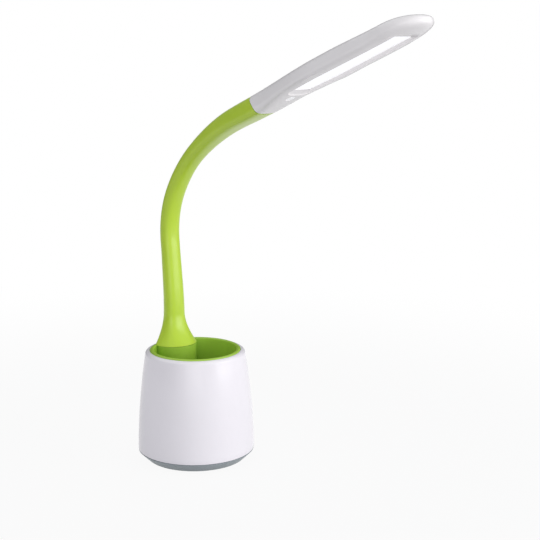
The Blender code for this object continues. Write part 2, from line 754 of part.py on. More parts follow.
def build_power_jack():
    """Round low-voltage power inlet with its centre pin."""
    x = wall_x(CUP_RADIUS, abs(JACK_Y) + JACK_NOSE_RADIUS) + SOCKET_SINK
    body_x = wall_x(CUP_RADIUS - SHELL_WALL, abs(JACK_Y) + JACK_WIDTH / 2) + JACK_STANDOFF
    z = BOARD_TOP_Z + GAP
    low = (body_x, JACK_Y - JACK_WIDTH / 2, z)
    high = (x + JACK_DEPTH, JACK_Y + JACK_WIDTH / 2, z + JACK_HEIGHT)
    jack = add_object("power_jack", box_mesh(low, high), BLACK_PLASTIC)
    turn = Matrix.Rotation(math.pi / 2, 4, "Y")
    place = Matrix.Translation((x, JACK_Y, z + JACK_HEIGHT / 2)) @ turn
    nose = rod_mesh(JACK_NOSE_RADIUS, 0, body_x - x + OVERRUN)
    boolean(jack, add_cutter("jack_nose", moved(nose, matrix=place)), "UNION")
    bore = rod_mesh(JACK_BORE_RADIUS, -OVERRUN, JACK_BORE_DEPTH, sides=16)
    boolean(jack, add_cutter("jack_bore", moved(bore, matrix=place)), "DIFFERENCE")
    pin = rod_mesh(JACK_PIN_RADIUS, OVERRUN / 2, JACK_BORE_DEPTH + OVERRUN / 2, sides=8)
    boolean(jack, add_cutter("jack_pin", moved(pin, matrix=place)), "UNION")


# Gooseneck: centreline, pivots, links, sleeve and lead


STRETCHES = (
    (FOOT_RISE, 0),
    (LEAN_LENGTH, LEAN),
    (STEM_LENGTH, 0),
    (TIGHT_RADIUS * TIGHT_TURN, -TIGHT_TURN),
    (MIDDLE_RADIUS * MIDDLE_TURN, -MIDDLE_TURN),
    (WIDE_RADIUS * WIDE_TURN, -WIDE_TURN),
    (REACH_LENGTH, 0),
)
NECK_LENGTH = sum(length for length, turn in STRETCHES)
PIVOTS = [FIRST_PIVOT + k * PIVOT_STEP for k in range(PIVOT_COUNT)]


def centreline(along):
    """Point (x, z) and heading of the neck, this far along it from the deck."""
    x, z, heading = NECK_X, RIM_Z, math.pi / 2
    left = along
    for number, (length, turn) in enumerate(STRETCHES):
        last = number == len(STRETCHES) - 1
        run = left if last else min(left, length)
        if turn:
            rate = turn / length
            swung = heading + rate * run
            x += (math.sin(swung) - math.sin(heading)) / rate
            z -= (math.cos(swung) - math.cos(heading)) / rate
            heading = swung
        else:
            x += run * math.cos(heading)
            z += run * math.sin(heading)
        left -= run
        if left <= 0:
            break
    return x, z, heading


def neck_frame(along):
    """Matrix whose +X runs along the neck, +Y is the lamp's left and +Z its upper side."""
    x, z, heading = centreline(along)
    return Matrix.Translation((x, 0, z)) @ Matrix.Rotation(-heading, 4, "Y")


def core_frame(along):
    """As neck_frame, but straight near each pivot, so that its ball and socket stay round."""
    for pivot in PIVOTS:
        if abs(along - pivot) <= SOCKET_OUTER_RADIUS:
            return neck_frame(pivot) @ Matrix.Translation((along - pivot, 0, 0))
    return neck_frame(along)


def add_pivots():
    """Empties on the pivots, each carried by the one below it."""
    made = []
    below = None
    for number, pivot in enumerate(PIVOTS, 1):
        empty = bpy.data.objects.new(f"pivot_{number}", None)
        LAMP.objects.link(empty)
        empty.empty_display_size = BALL_RADIUS
        empty.parent = below
        frame = neck_frame(pivot)
        if below:
            frame = neck_frame(PIVOTS[number - 2]).inverted() @ frame
        empty.matrix_basis = frame
        made.append(empty)
        below = empty
    head = bpy.data.objects.new("head_frame", None)
    LAMP.objects.link(head)
    head.parent = below
    head.matrix_basis = neck_frame(PIVOTS[-1]).inverted() @ neck_frame(NECK_LENGTH)
    return made, head


def add_neck_part(name, mesh, finish, body):
    """Add a mesh made in the lamp's frame to body 0, the base, or to the body above a pivot."""
    if body == 0:
        return add_object(name, mesh, finish)
    mesh.transform(neck_frame(PIVOTS[body - 1]).inverted())
    return add_object(name, mesh, finish, NECK_PIVOTS[body - 1])


def section(half_width, up, down, squareness, count=SLEEVE_POINTS, down_squareness=None):
    """Points (y, z) of a rounded section that may differ above and below its axis."""
    points = []
    for k in range(count):
        angle = math.tau * (k + 0.5) / count
        across, rise = math.cos(angle), math.sin(angle)
        power = squareness if rise > 0 or not down_squareness else down_squareness
        y = half_width * math.copysign(abs(across) ** (2 / power), across)
        height = up if rise > 0 else down
        points.append((y, height * math.copysign(abs(rise) ** (2 / power), rise)))
    return points


def sleeve_section(along):
    """Section of the green sleeve: flared at the foot, tapering up, and broader at the head."""
    morph = eased(along, MORPH_START, MORPH_END)
    taper = max(1 - along / TAPER_LENGTH, 0)
    half_width = between(STEM_HALF_WIDTH, END_HALF_WIDTH, morph) + TAPER_HALF_WIDTH * taper
    front = between(STEM_FRONT, END_FRONT, morph) + TAPER_FRONT * taper
    back = between(STEM_BACK, END_BACK, morph) + TAPER_BACK * taper
    squareness = between(STEM_SQUARENESS, END_SQUARENESS, morph)
    flare = max(1 - along / FIRST_PIVOT, 0) ** FLARE_POWER
    half_width = between(half_width, FOOT_HALF_WIDTH, flare)
    front = between(front, FOOT_FRONT, flare)
    back = between(back, FOOT_BACK, flare)
    squareness = between(squareness, FOOT_SQUARENESS, flare)
    return section(half_width, back, front, squareness)


def foot_seat_ring(height):
    """Outline of the recess in the bead that the sleeve's foot stands in."""
    ring = section(FOOT_HALF_WIDTH + GAP, FOOT_BACK + GAP, FOOT_FRONT + GAP, FOOT_SQUARENESS)
    return [(NECK_X - z, y, height) for y, z in ring]


def placed_ring(along, points, lean=0):
    """Set a section's points on the centreline, leaning forward by this share of their height."""
    frame = neck_frame(along)
    return [tuple(frame @ Vector((-z * lean, y, z))) for y, z in points]


def sleeve_mesh(start, end, bore_steps, slant=0):
    """One stretch of the sleeve, hollow for the gooseneck inside it."""
    foot = start < FIRST_PIVOT
    steps = 6 if foot else 3
    outer = []
    for k in range(steps + 1):
        along = between(start, end, (k / steps) ** (FLARE_CROWDING if foot else 1))
        lean = slant * eased(along, end - SLANT_FADE, end)
        outer.append(placed_ring(along, sleeve_section(along), lean))
    inner = []
    for along, radius in bore_steps:
        lean = slant * eased(along, end - SLANT_FADE, end)
        inner.append(placed_ring(along, section(radius, radius, radius, 2), lean))
    return loft_mesh(outer + inner[::-1], ring_shaped=True)


def build_sleeve():
    """The silicone sleeve in stretches, one for each body, and its flared foot."""
    flange = FERRULE_FLANGE + 2 * GAP
    flange_bore = FERRULE_FLANGE_RADIUS + GAP
    middle = [between(low, high, 0.5) for low, high in zip(PIVOTS, PIVOTS[1:])]
    bore = SLEEVE_BORE_RADIUS
    foot_end = PIVOTS[0] - GAP / 2
    steps = [(GAP, flange_bore), (flange, flange_bore), (flange + GAP, bore), (foot_end, bore)]
    foot = sleeve_mesh(GAP, foot_end, steps)
    add_neck_part("sleeve_foot", foot, LIME_SILICONE, 0)
    ends = PIVOTS + [NECK_LENGTH]
    for number in range(1, PIVOT_COUNT + 1):
        start = ends[number - 1] + GAP / 2
        end = ends[number] - GAP / 2
        centre = middle[number - 1] if number < PIVOT_COUNT else between(start, end, 0.5)
        steps = [(start, bore), (centre, bore), (end, bore)]
        slant = math.tan(SLANT) if number == PIVOT_COUNT else 0
        part = sleeve_mesh(start, end, steps, slant)
        add_neck_part(f"sleeve_{number}", part, LIME_SILICONE, number)


def on_core(mesh):
    """Bend a part turned about Z onto the neck's centreline, its Z being the way along it."""
    for vertex in mesh.vertices:
        x, y, along = vertex.co
        vertex.co = core_frame(along) @ Vector((0, y, -x))
    return mesh


def core_stops(low, high):
    """Places between two pivots where both the bore and the lead in it may bend."""
    return [between(low, high, k / CORE_BENDS) for k in range(1, CORE_BENDS)]


def ball_outline(pivot, bore):
    """Profile of a ball and its stem above a pivot, from the stem down to the bore's mouth."""
    stem_angle = math.asin(STEM_RADIUS / BALL_RADIUS)
    bore_angle = -math.acos(bore / BALL_RADIUS)
    start = math.pi / 2 - stem_angle
    ball = arc((0, pivot), BALL_RADIUS, BALL_RADIUS, start, bore_angle, LINK_ARC_STEPS)
    rise = SOCKET_OUTER_RADIUS + GAP
    swell = LINK_RADIUS - STEM_RADIUS
    return [(LINK_RADIUS, pivot + rise + swell), (STEM_RADIUS, pivot + rise)] + ball


def socket_outline(pivot, bore):
    """Profile of a socket below a pivot, up its inside from the bore and down its outside."""
    floor_angle = -math.acos(bore / SOCKET_RADIUS)
    mouth = math.pi / 2 - MOUTH_ANGLE
    inside = arc((0, pivot), SOCKET_RADIUS, SOCKET_RADIUS, floor_angle, mouth, LINK_ARC_STEPS)
    outer = SOCKET_OUTER_RADIUS
    rim = (outer * math.cos(mouth), pivot + outer * math.sin(mouth))
    outside = [rim, (outer, pivot), (outer, pivot - SOCKET_RADIUS / 2)]
    return inside, outside


def link_mesh(low, high):
    """A link: a ball at its low pivot, a tube, and a socket round its high pivot."""
    bore = LEAD_BORE_RADIUS
    inside, outside = socket_outline(high, bore)
    neck_z = high - SOCKET_OUTER_RADIUS - OVERRUN
    ball = ball_outline(low, bore)
    tube_low = ball[0][1]
    tube = [(LINK_RADIUS, between(neck_z, tube_low, k / 3)) for k in range(3)]
    core = [(bore, along) for along in core_stops(low, high)]
    profile = outside + tube + ball + core + inside
    return on_core(turned_mesh(profile, LINK_TURN_STEPS))


def build_links():
    """Six ball-and-socket links between the seven pivots."""
    for number in range(1, PIVOT_COUNT):
        mesh = link_mesh(PIVOTS[number - 1], PIVOTS[number])
        add_neck_part(f"neck_link_{number}", mesh, STEEL, number)


def build_neck_ferrule():
    """Threaded steel foot of the neck: it passes the deck and ends in the first socket."""
    bore = LEAD_BORE_RADIUS
    inside, outside = socket_outline(PIVOTS[0], bore)
    flange_low = GAP
    flange_high = flange_low + FERRULE_FLANGE
    bottom = -THREAD_LENGTH
    down = [
        (LINK_RADIUS, PIVOTS[0] - SOCKET_OUTER_RADIUS - OVERRUN),
        (LINK_RADIUS, flange_high),
        (FERRULE_FLANGE_RADIUS, flange_high),
        (FERRULE_FLANGE_RADIUS, flange_low),
        (THREAD_RADIUS, flange_low),
        (THREAD_RADIUS, bottom),
        (bore, bottom),
    ]
    mesh = turned_mesh(outside + down + inside, 16)
    add_object("neck_ferrule", moved(mesh, (NECK_X, 0, RIM_Z)), STEEL)


def build_ferrule_fixing():
    """Washer and hexagon nut that hold the ferrule from under the deck."""
    deck_under = RIM_Z - DECK_THICKNESS
    hole = THREAD_RADIUS + GAP
    washer_top = deck_under - GAP
    washer_low = washer_top - WASHER_THICKNESS
    nut_top = washer_low - GAP
    nut_low = nut_top - NUT_THICKNESS
    centre = (NECK_X, 0)
    washer = [(WASHER_RADIUS, washer_top), (WASHER_RADIUS, washer_low)]
    washer += [(hole, washer_low), (hole, washer_top)]
    mesh = moved(turned_mesh(washer, 16), (NECK_X, 0, 0))
    add_object("ferrule_washer", mesh, STEEL)
    nut = add_object("ferrule_nut", rod_mesh(NUT_RADIUS, nut_low, nut_top, centre, 6), STEEL)
    bore = rod_mesh(hole, nut_low - OVERRUN, nut_top + OVERRUN, centre, 16)
    boolean(nut, add_cutter("nut_bore", bore), "DIFFERENCE")


def build_leads():
    """The lamp's inner lead: up the tower, then a stretch in each link and one in the head."""
    clear = SOCKET_RADIUS + GAP
    top = RIM_Z + PIVOTS[0] - clear
    bottom = BOARD_TOP_Z + HEADER_SIZE + GAP
    points = [(NECK_X, 0, between(bottom, top, k / 3)) for k in range(4)]
    add_object("base_lead", lead_mesh(points), BLACK_PLASTIC)
    for number in range(1, PIVOT_COUNT):
        low, high = PIVOTS[number - 1], PIVOTS[number]
        stops = [low - BALL_RADIUS + GAP, *core_stops(low, high), high - clear]
        points = [core_frame(along).translation for along in stops]
        add_neck_part(f"link_lead_{number}", lead_mesh(points), BLACK_PLASTIC, number)


# Head, in its own frame: +X to the tip, +Y left, +Z up, from the end of the neck


def head_shape(along, inset=0.0):
    """Half width, height above and depth below the head's axis, at this distance along it."""
    widen = eased(along, -HEAD_WIDEN_LEAD, HEAD_WIDEN_LENGTH)
    begun = eased(0, -HEAD_WIDEN_LEAD, HEAD_WIDEN_LENGTH)
    widen = max(widen - begun, 0) / (1 - begun)
    nose_start = HEAD_LENGTH - NOSE_LENGTH
    slim = eased(along, nose_start - HEAD_SLIM_LENGTH, nose_start)
    half_width = between(END_HALF_WIDTH, HEAD_HALF_WIDTH, widen)
    half_width = between(half_width, HEAD_TIP_HALF_WIDTH, slim)
    up = between(between(END_BACK, HEAD_TOP, widen), HEAD_TOP_TIP, slim)
    level = TOUCH_X - 2 * TOUCH_RADIUS
    down = between(END_FRONT, HEAD_BOTTOM, eased(along, 0, level))
    into_nose = max(along - nose_start, 0) / (NOSE_LENGTH - inset)
    round_off = math.sqrt(max(1 - into_nose**2, 0.0001))
    thin = round_off**NOSE_ROUNDING
    return (half_width - inset) * round_off, (up - inset) * thin, (down - inset) * thin


def head_ring(along, inset=0.0):
    """One ring of the head, slanted near the neck as the joint there is."""
    half_width, up, down = head_shape(along, inset)
    blend = eased(along, 0, HEAD_WIDEN_LENGTH / 2)
    top_square = between(END_SQUARENESS, HEAD_TOP_SQUARENESS, blend)
    low_square = between(END_SQUARENESS, HEAD_BOTTOM_SQUARENESS, blend)
    points = section(half_width, up, down, top_square, HEAD_POINTS, low_square)
    lean = math.tan(SLANT) * (1 - eased(along, 0, SLANT_FADE))
    return [(along - z * lean, y, z) for y, z in points]


def head_solid(start, inset=0.0):
    """The head as one solid, or the hollow inside it when given an inset."""
    nose_start = HEAD_LENGTH - NOSE_LENGTH
    shares = [(k / HEAD_STRETCHES) ** HEAD_CROWDING for k in range(HEAD_STRETCHES)]
    places = [between(start, nose_start, share) for share in shares]
    nose = NOSE_LENGTH - inset
    places += [nose_start + nose * math.sin(math.radians(a)) for a in NOSE_RING_ANGLES]
    return loft_mesh([head_ring(along, inset) for along in places])


def window_outline(margin=0.0):
    """Outline of the light window, grown by a margin for what covers it."""
    side = [
        (WINDOW_START - margin, WINDOW_HALF_START + margin),
        (WINDOW_SHOULDER, WINDOW_HALF_WIDTH + margin),
        (WINDOW_END + margin, WINDOW_HALF_END + margin),
    ]
    corners = [(x, -y) for x, y in side] + side[::-1]
    return filleted(corners, WINDOW_CORNER + margin)


def head_box(z_low, z_high):
    """A box round the whole head between two heights."""
    low = (-HEAD_WIDEN_LENGTH, -CUP_RADIUS, z_low)
    return box_mesh(low, (HEAD_LENGTH + HEAD_WIDEN_LENGTH, CUP_RADIUS, z_high))


def board_screw_places():
    """The two screws that hold the light board, one at each end of it."""
    inset = LED_BOARD_OVERHANG / 2
    return [(WINDOW_START - inset, 0), (WINDOW_END + inset, 0)]


def build_head_covers(head):
    """White top cover and the bottom bezel with the light window."""
    cover = add_object("head_cover", head_solid(GAP / 2), GLOSS_WHITE, head)
    hollow = add_cutter("head_hollow", head_solid(HEAD_END_WALL, HEAD_WALL), head)
    boolean(cover, hollow, "DIFFERENCE")
    below = head_box(-CUP_RADIUS, PARTING_Z + GAP / 2)
    boolean(cover, add_cutter("cover_parting", below, head), "DIFFERENCE")
    bosses = [
        rod_mesh(BOSS_RADIUS, SPREADER_TOP_Z + GAP, HEAD_TOP - HEAD_WALL / 2, place, 12)
        for place in board_screw_places()
    ]
    boolean(cover, add_cutter("board_bosses", joined(bosses), head), "UNION")
    pilots = [
        rod_mesh(SMALL_SCREW_RADIUS + GAP, 0, SPREADER_TOP_Z + BOSS_PILOT_DEPTH, place, 10)
        for place in board_screw_places()
    ]
    boolean(cover, add_cutter("boss_pilots", joined(pilots), head), "DIFFERENCE")

    bezel = add_object("head_bezel", head_solid(GAP / 2), GLOSS_WHITE, head)
    boolean(bezel, hollow, "DIFFERENCE")
    above = head_box(PARTING_Z - GAP / 2, CUP_RADIUS)
    boolean(bezel, add_cutter("bezel_parting", above, head), "DIFFERENCE")
    window = flat_mesh(window_outline(), -HEAD_BOTTOM - OVERRUN, 0)
    boolean(bezel, add_cutter("light_window", window, head), "DIFFERENCE")
    seat = flat_mesh(window_outline(DIFFUSER_LAP + GAP), BEZEL_FLOOR_Z, 0)
    boolean(bezel, add_cutter("diffuser_seat", seat, head), "DIFFERENCE")
    touch = rod_mesh(TOUCH_RADIUS + GAP, -CUP_RADIUS, 0, (TOUCH_X, 0), 20)
    boolean(bezel, add_cutter("touch_hole", touch, head), "DIFFERENCE")
    turn = Matrix.Rotation(math.pi / 2, 4, "Y")
    bore = moved(rod_mesh(LINK_RADIUS + GAP, -CUP_RADIUS, HEAD_HOLLOW_X), matrix=turn)
    passage = add_cutter("neck_passage", bore, head)
    boolean(cover, passage, "DIFFERENCE")
    boolean(bezel, passage, "DIFFERENCE")


def build_light(head):
    """Diffuser, light board with its LEDs, heat spreader and their screws."""
    outline = window_outline(DIFFUSER_LAP)
    plate = flat_mesh(outline, DIFFUSER_BOTTOM_Z, DIFFUSER_TOP_Z)
    add_object("diffuser", plate, DIFFUSER_WHITE, head)

    start = WINDOW_START - LED_BOARD_OVERHANG
    end = WINDOW_END + LED_BOARD_OVERHANG
    low = (start, -LED_BOARD_HALF_WIDTH, LED_BOARD_BOTTOM_Z)
    high = (end, LED_BOARD_HALF_WIDTH, LED_BOARD_TOP_Z)
    board = add_object("led_board", box_mesh(low, high), BOARD_WHITE, head)
    step = (WINDOW_END - WINDOW_START) / LED_COLUMNS
    half = Vector((LED_SIZE, LED_SIZE, 0)) / 2
    chips = []
    for column in range(LED_COLUMNS):
        for row in range(LED_ROWS):
            x = WINDOW_START + (column + 0.5) * step
            y = (row - (LED_ROWS - 1) / 2) * LED_ROW_SPACING
            foot = Vector((x, y, LED_BOARD_BOTTOM_Z - LED_HEIGHT))
            top = Vector((x, y, LED_BOARD_BOTTOM_Z + LED_BOARD_THICKNESS / 2))
            chips.append(box_mesh(foot - half, top + half))
    boolean(board, add_cutter("led_chips", joined(chips), head), "UNION")

    low = (start, -SPREADER_HALF_WIDTH, SPREADER_BOTTOM_Z)
    high = (end, SPREADER_HALF_WIDTH, SPREADER_TOP_Z)
    corners = [(low[0], low[1]), (high[0], low[1]), (high[0], high[1]), (low[0], high[1])]
    outline = filleted(corners, SPREADER_CORNER)
    sheet = flat_mesh(outline, SPREADER_BOTTOM_Z, SPREADER_TOP_Z)
    spreader = add_object("heat_spreader", sheet, ALUMINIUM, head)
    holes = [
        rod_mesh(SMALL_SCREW_RADIUS + GAP, -CUP_RADIUS, CUP_RADIUS, place, 10)
        for place in board_screw_places()
    ]
    through = add_cutter("light_holes", joined(holes), head)
    boolean(board, through, "DIFFERENCE")
    boolean(spreader, through, "DIFFERENCE")
    for number, (x, y) in enumerate(board_screw_places(), 1):
        sizes = (SMALL_SCREW_RADIUS, SMALL_SCREW_HEAD_RADIUS, SMALL_SCREW_HEAD)
        length = SPREADER_TOP_Z - LED_BOARD_BOTTOM_Z + BOSS_PILOT_DEPTH
        screw = screw_mesh(length, *sizes)
        moved(screw, (x, y, LED_BOARD_BOTTOM_Z - GAP - SMALL_SCREW_HEAD))
        add_object(f"led_screw_{number}", screw, STEEL, head)


def build_touch_switch(head):
    """Round touch pad, flush in the underside near the neck, and its small board."""
    bottom = -head_shape(TOUCH_X)[2]
    top = bottom + HEAD_WALL
    pad = rod_mesh(TOUCH_RADIUS, bottom, top, (TOUCH_X, 0), 20)
    add_object("touch_pad", pad, PALE_GREY, head)
    half = TOUCH_BOARD_SIZE / 2
    low = (TOUCH_X - half, -half, top + GAP)
    high = (TOUCH_X + half, half, top + GAP + TOUCH_BOARD_THICKNESS)
    add_object("touch_board", box_mesh(low, high), BOARD_GREEN, head)


def build_head_ferrule():
    """Steel end of the neck: the last ball, a tube and a flange inside the head."""
    bore = LEAD_BORE_RADIUS
    ball = ball_outline(PIVOTS[-1], bore)
    tube_top = NECK_LENGTH + HEAD_HOLLOW_X + GAP
    flange_top = tube_top + FERRULE_FLANGE
    flange_radius = SOCKET_OUTER_RADIUS
    profile = [
        (bore, flange_top),
        (flange_radius, flange_top),
        (flange_radius, tube_top),
        (LINK_RADIUS, tube_top),
    ]
    mesh = on_core(turned_mesh(profile + ball, LINK_TURN_STEPS))
    add_neck_part("head_ferrule", mesh, STEEL, PIVOT_COUNT)
    low = PIVOTS[-1] - BALL_RADIUS + GAP
    high = NECK_LENGTH + WINDOW_START - LED_BOARD_OVERHANG - GAP
    stops = [between(low, high, k / CORE_BENDS) for k in range(CORE_BENDS + 1)]
    points = [core_frame(along).translation for along in stops]
    add_neck_part("head_lead", lead_mesh(points), BLACK_PLASTIC, PIVOT_COUNT)


build_outer_shell()
build_base_plate()
build_base_pad()
build_ballast()
build_pen_liner()
build_base_screws()
build_control_board()
build_usb_socket()
build_power_jack()
NECK_PIVOTS, HEAD_FRAME = add_pivots()
build_neck_ferrule()
build_ferrule_fixing()
build_links()
build_leads()
build_sleeve()
build_head_ferrule()
build_head_covers(HEAD_FRAME)
build_light(HEAD_FRAME)
build_touch_switch(HEAD_FRAME)
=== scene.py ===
# %% [markdown]
# # A desk lamp with a cup in its base
#
# The lamp has a round white base with a lime green cup in it, a flexible neck
# in a lime silicone sleeve, and a flat white head with a light window below.
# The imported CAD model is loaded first. It is the fixed frame: it says where
# every part is and which body carries it. Then each part that is seen gets a
# smooth shape and a finish of its own.

# %% Load the frame
import math

import bmesh
import bpy
from mathutils import Matrix, Vector


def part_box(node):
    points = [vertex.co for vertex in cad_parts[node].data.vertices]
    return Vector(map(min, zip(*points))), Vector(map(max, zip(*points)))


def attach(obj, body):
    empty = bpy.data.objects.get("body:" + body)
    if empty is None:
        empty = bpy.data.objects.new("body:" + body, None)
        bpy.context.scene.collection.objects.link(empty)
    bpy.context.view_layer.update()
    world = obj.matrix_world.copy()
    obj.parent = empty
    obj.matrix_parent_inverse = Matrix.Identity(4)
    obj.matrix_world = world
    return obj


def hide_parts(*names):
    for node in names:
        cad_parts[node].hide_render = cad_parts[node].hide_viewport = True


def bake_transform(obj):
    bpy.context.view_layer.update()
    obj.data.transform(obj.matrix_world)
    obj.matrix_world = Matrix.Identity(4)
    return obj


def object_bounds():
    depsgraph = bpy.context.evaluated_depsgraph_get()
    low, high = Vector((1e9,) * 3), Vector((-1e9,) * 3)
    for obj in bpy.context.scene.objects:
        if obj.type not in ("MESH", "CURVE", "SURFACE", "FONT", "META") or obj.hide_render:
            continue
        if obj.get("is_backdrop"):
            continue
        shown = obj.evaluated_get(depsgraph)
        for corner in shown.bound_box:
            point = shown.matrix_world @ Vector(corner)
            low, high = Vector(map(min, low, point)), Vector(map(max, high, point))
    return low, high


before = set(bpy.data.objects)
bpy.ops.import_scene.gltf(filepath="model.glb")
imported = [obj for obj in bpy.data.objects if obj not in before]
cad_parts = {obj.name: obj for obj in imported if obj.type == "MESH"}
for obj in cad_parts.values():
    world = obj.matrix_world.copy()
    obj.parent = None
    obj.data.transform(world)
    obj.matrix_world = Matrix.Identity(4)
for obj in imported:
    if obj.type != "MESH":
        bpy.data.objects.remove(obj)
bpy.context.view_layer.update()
MM = 0.001

# %% [markdown]
# ## Camera
#
# The picture is taken from the lamp's front right, from about the height of
# the head, with a long lens. The head reaches up towards the camera, which is
# why its underside shows although the camera looks slightly down.

# %% Camera
CAMERA_PLACE = (1.01525, -0.72324, 0.44894)
CAMERA_PITCH = math.radians(78.595)
CAMERA_TURN = math.radians(51)
CAMERA_LENS = 83.33

bpy.ops.object.camera_add(location=CAMERA_PLACE, rotation=(CAMERA_PITCH, 0, CAMERA_TURN))
camera = bpy.context.object
camera.name = "camera"
camera.data.lens = CAMERA_LENS
bpy.context.scene.camera = camera
print("camera", round(Vector(CAMERA_PLACE).length, 2), "m from the base")

# %% [markdown]
# ## Writing materials
#
# Every finish starts from the Principled shader. One function turns an sRGB
# colour, as a paint program writes it, to the linear values that Blender uses,
# and one adds a node with its settings and links. Patterns are measured in
# real millimetres on Object coordinates, so they keep their size on every
# piece.


# %% Colours and nodes
def linear(code):
    """An sRGB hex colour as linear red, green, blue and alpha."""
    values = [int(code[k : k + 2], 16) / 255 for k in (1, 3, 5)]
    turned = [v / 12.92 if v <= 0.04045 else ((v + 0.055) / 1.055) ** 2.4 for v in values]
    return (*turned, 1.0)


def add_node(tree, kind, inputs, **settings):
    """Add a node, set its properties, and fill or link its inputs."""
    node = tree.nodes.new(f"ShaderNode{kind}")
    for name, value in settings.items():
        setattr(node, name, value)
    for name, value in inputs.items():
        if isinstance(value, bpy.types.NodeSocket):
            tree.links.new(value, node.inputs[name])
        else:
            node.inputs[name].default_value = value
    return node


def per_size(size):
    """The noise scale at which one feature of the pattern is this many millimetres long."""
    return 1 / (size * MM)


def new_finish(name, **sockets):
    """A material with a Principled shader whose uniform values are set on its sockets."""
    made = bpy.data.materials.new(name)
    made.use_nodes = True
    shader = made.node_tree.nodes["Principled BSDF"]
    for socket, value in sockets.items():
        shader.inputs[socket.replace("_", " ")].default_value = value
    return made, made.node_tree, shader


# %% [markdown]
# ## Moulded surfaces
#
# Most of this lamp is moulded plastic or rubber, which is never one flat
# colour: the pigment is uneven over centimetres, the gloss over millimetres,
# and a fine grain or a faint waviness bends the reflections. Only the sizes,
# in millimetres, and the strengths differ, so one function makes every moulded
# finish.


# %% The patterns of a moulded surface
PATTERN_DETAIL = (3.0, 2.0, 1.0)


def link_patterns(tree, shader, colours, rough, depth, tone, gloss, relief):
    """Let three patterns steer the shader's colour, roughness and normal."""
    dark, light = (linear(colour) for colour in colours)
    between_two = {"Factor": tone, "A": dark, "B": light}
    pigment = add_node(tree, "Mix", between_two, data_type="RGBA")
    tree.links.new(pigment.outputs["Result"], shader.inputs["Base Color"])
    between_two = {"Value": gloss, "To Min": rough[0], "To Max": rough[1]}
    dullness = add_node(tree, "MapRange", between_two)
    tree.links.new(dullness.outputs["Result"], shader.inputs["Roughness"])
    raised = {"Height": relief, "Strength": 1.0, "Distance": depth * MM}
    bump = add_node(tree, "Bump", raised)
    tree.links.new(bump.outputs["Normal"], shader.inputs["Normal"])


def moulded(name, colours, rough, sizes, depth, **sockets):
    """A finish whose pigment, gloss and grain vary over these three sizes."""
    made, tree, shader = new_finish(name, **sockets)
    place = add_node(tree, "TexCoord", {}).outputs["Object"]
    patterns = []
    for size, detail in zip(sizes, PATTERN_DETAIL):
        inputs = {"Vector": place, "Scale": per_size(size), "Detail": detail}
        patterns.append(add_node(tree, "TexNoise", inputs).outputs["Fac"])
    link_patterns(tree, shader, colours, rough, depth, *patterns)
    return made


# %% [markdown]
# ## Glossy white plastic
#
# The base shell and the head are injection-moulded ABS from a polished mould,
# with a clear gloss and an IOR of about 1.53. Such a mould still leaves a
# waviness a few millimetres long and a few hundredths of a millimetre deep,
# which softens the edges of reflections. The white of the shell is very
# slightly lilac. That of the head is neutral and a little less glossy.

# %% Glossy white ABS
WHITE_ABS = {"sizes": (40, 12, 9), "depth": 0.02, "IOR": 1.53, "Specular_IOR_Level": 0.35}
gloss_white = moulded(
    "glossy_injection_moulded_abs", ("#EEEAEF", "#F4F0F5"), rough=(0.16, 0.24), **WHITE_ABS
)
neutral_white = moulded(
    "neutral_glossy_injection_moulded_abs", ("#F2EEEE", "#F8F5F5"), rough=(0.2, 0.28), **WHITE_ABS
)

# %% [markdown]
# ## Lime silicone
#
# The sleeve of the neck is compression-moulded silicone rubber. It is soft
# and slightly translucent, so light spreads a few tenths of a millimetre
# under its skin, and it has a satin gloss. Its moulded grain is about 0.3 mm
# wide, too fine for the picture, so it is drawn 0.9 mm wide.

# %% Lime silicone rubber
lime_silicone = moulded(
    "satin_moulded_silicone_rubber",
    ("#B8D636", "#C1DC42"),
    rough=(0.26, 0.35),
    sizes=(30, 8, 0.9),
    depth=0.012,
    IOR=1.45,
    Subsurface_Weight=0.12,
    Subsurface_Radius=(1.0, 1.2, 0.3),
    Subsurface_Scale=0.8 * MM,
    Sheen_Weight=0.2,
    Sheen_Roughness=0.4,
)

# %% [markdown]
# ## Lime plastic
#
# The pen cup is injection-moulded polypropylene in nearly the same green, with
# a satin skin. Polypropylene has an IOR of about 1.49. Its grain is finer than
# 1 mm, and is drawn that wide so that it shows.

# %% Lime polypropylene
lime_plastic = moulded(
    "satin_moulded_polypropylene",
    ("#9CC43C", "#A6CC4A"),
    rough=(0.3, 0.4),
    sizes=(35, 9, 1.0),
    depth=0.012,
    IOR=1.49,
)

# %% [markdown]
# ## Grey plastic and rubber
#
# The base plate is grey ABS from a spark-eroded mould, which leaves a matt
# grain about 0.4 mm wide, drawn 0.8 mm wide here. The pad below it is black
# rubber, matt and slightly dusty.

# %% Grey ABS and black rubber
cool_grey = moulded(
    "matt_moulded_grey_abs",
    ("#939CA1", "#9DA6AA"),
    rough=(0.42, 0.52),
    sizes=(25, 6, 0.8),
    depth=0.02,
    IOR=1.53,
)
black_rubber = moulded(
    "matt_moulded_rubber",
    ("#1E1F20", "#2B2C2D"),
    rough=(0.7, 0.85),
    sizes=(12, 4, 0.7),
    depth=0.05,
    IOR=1.5,
)
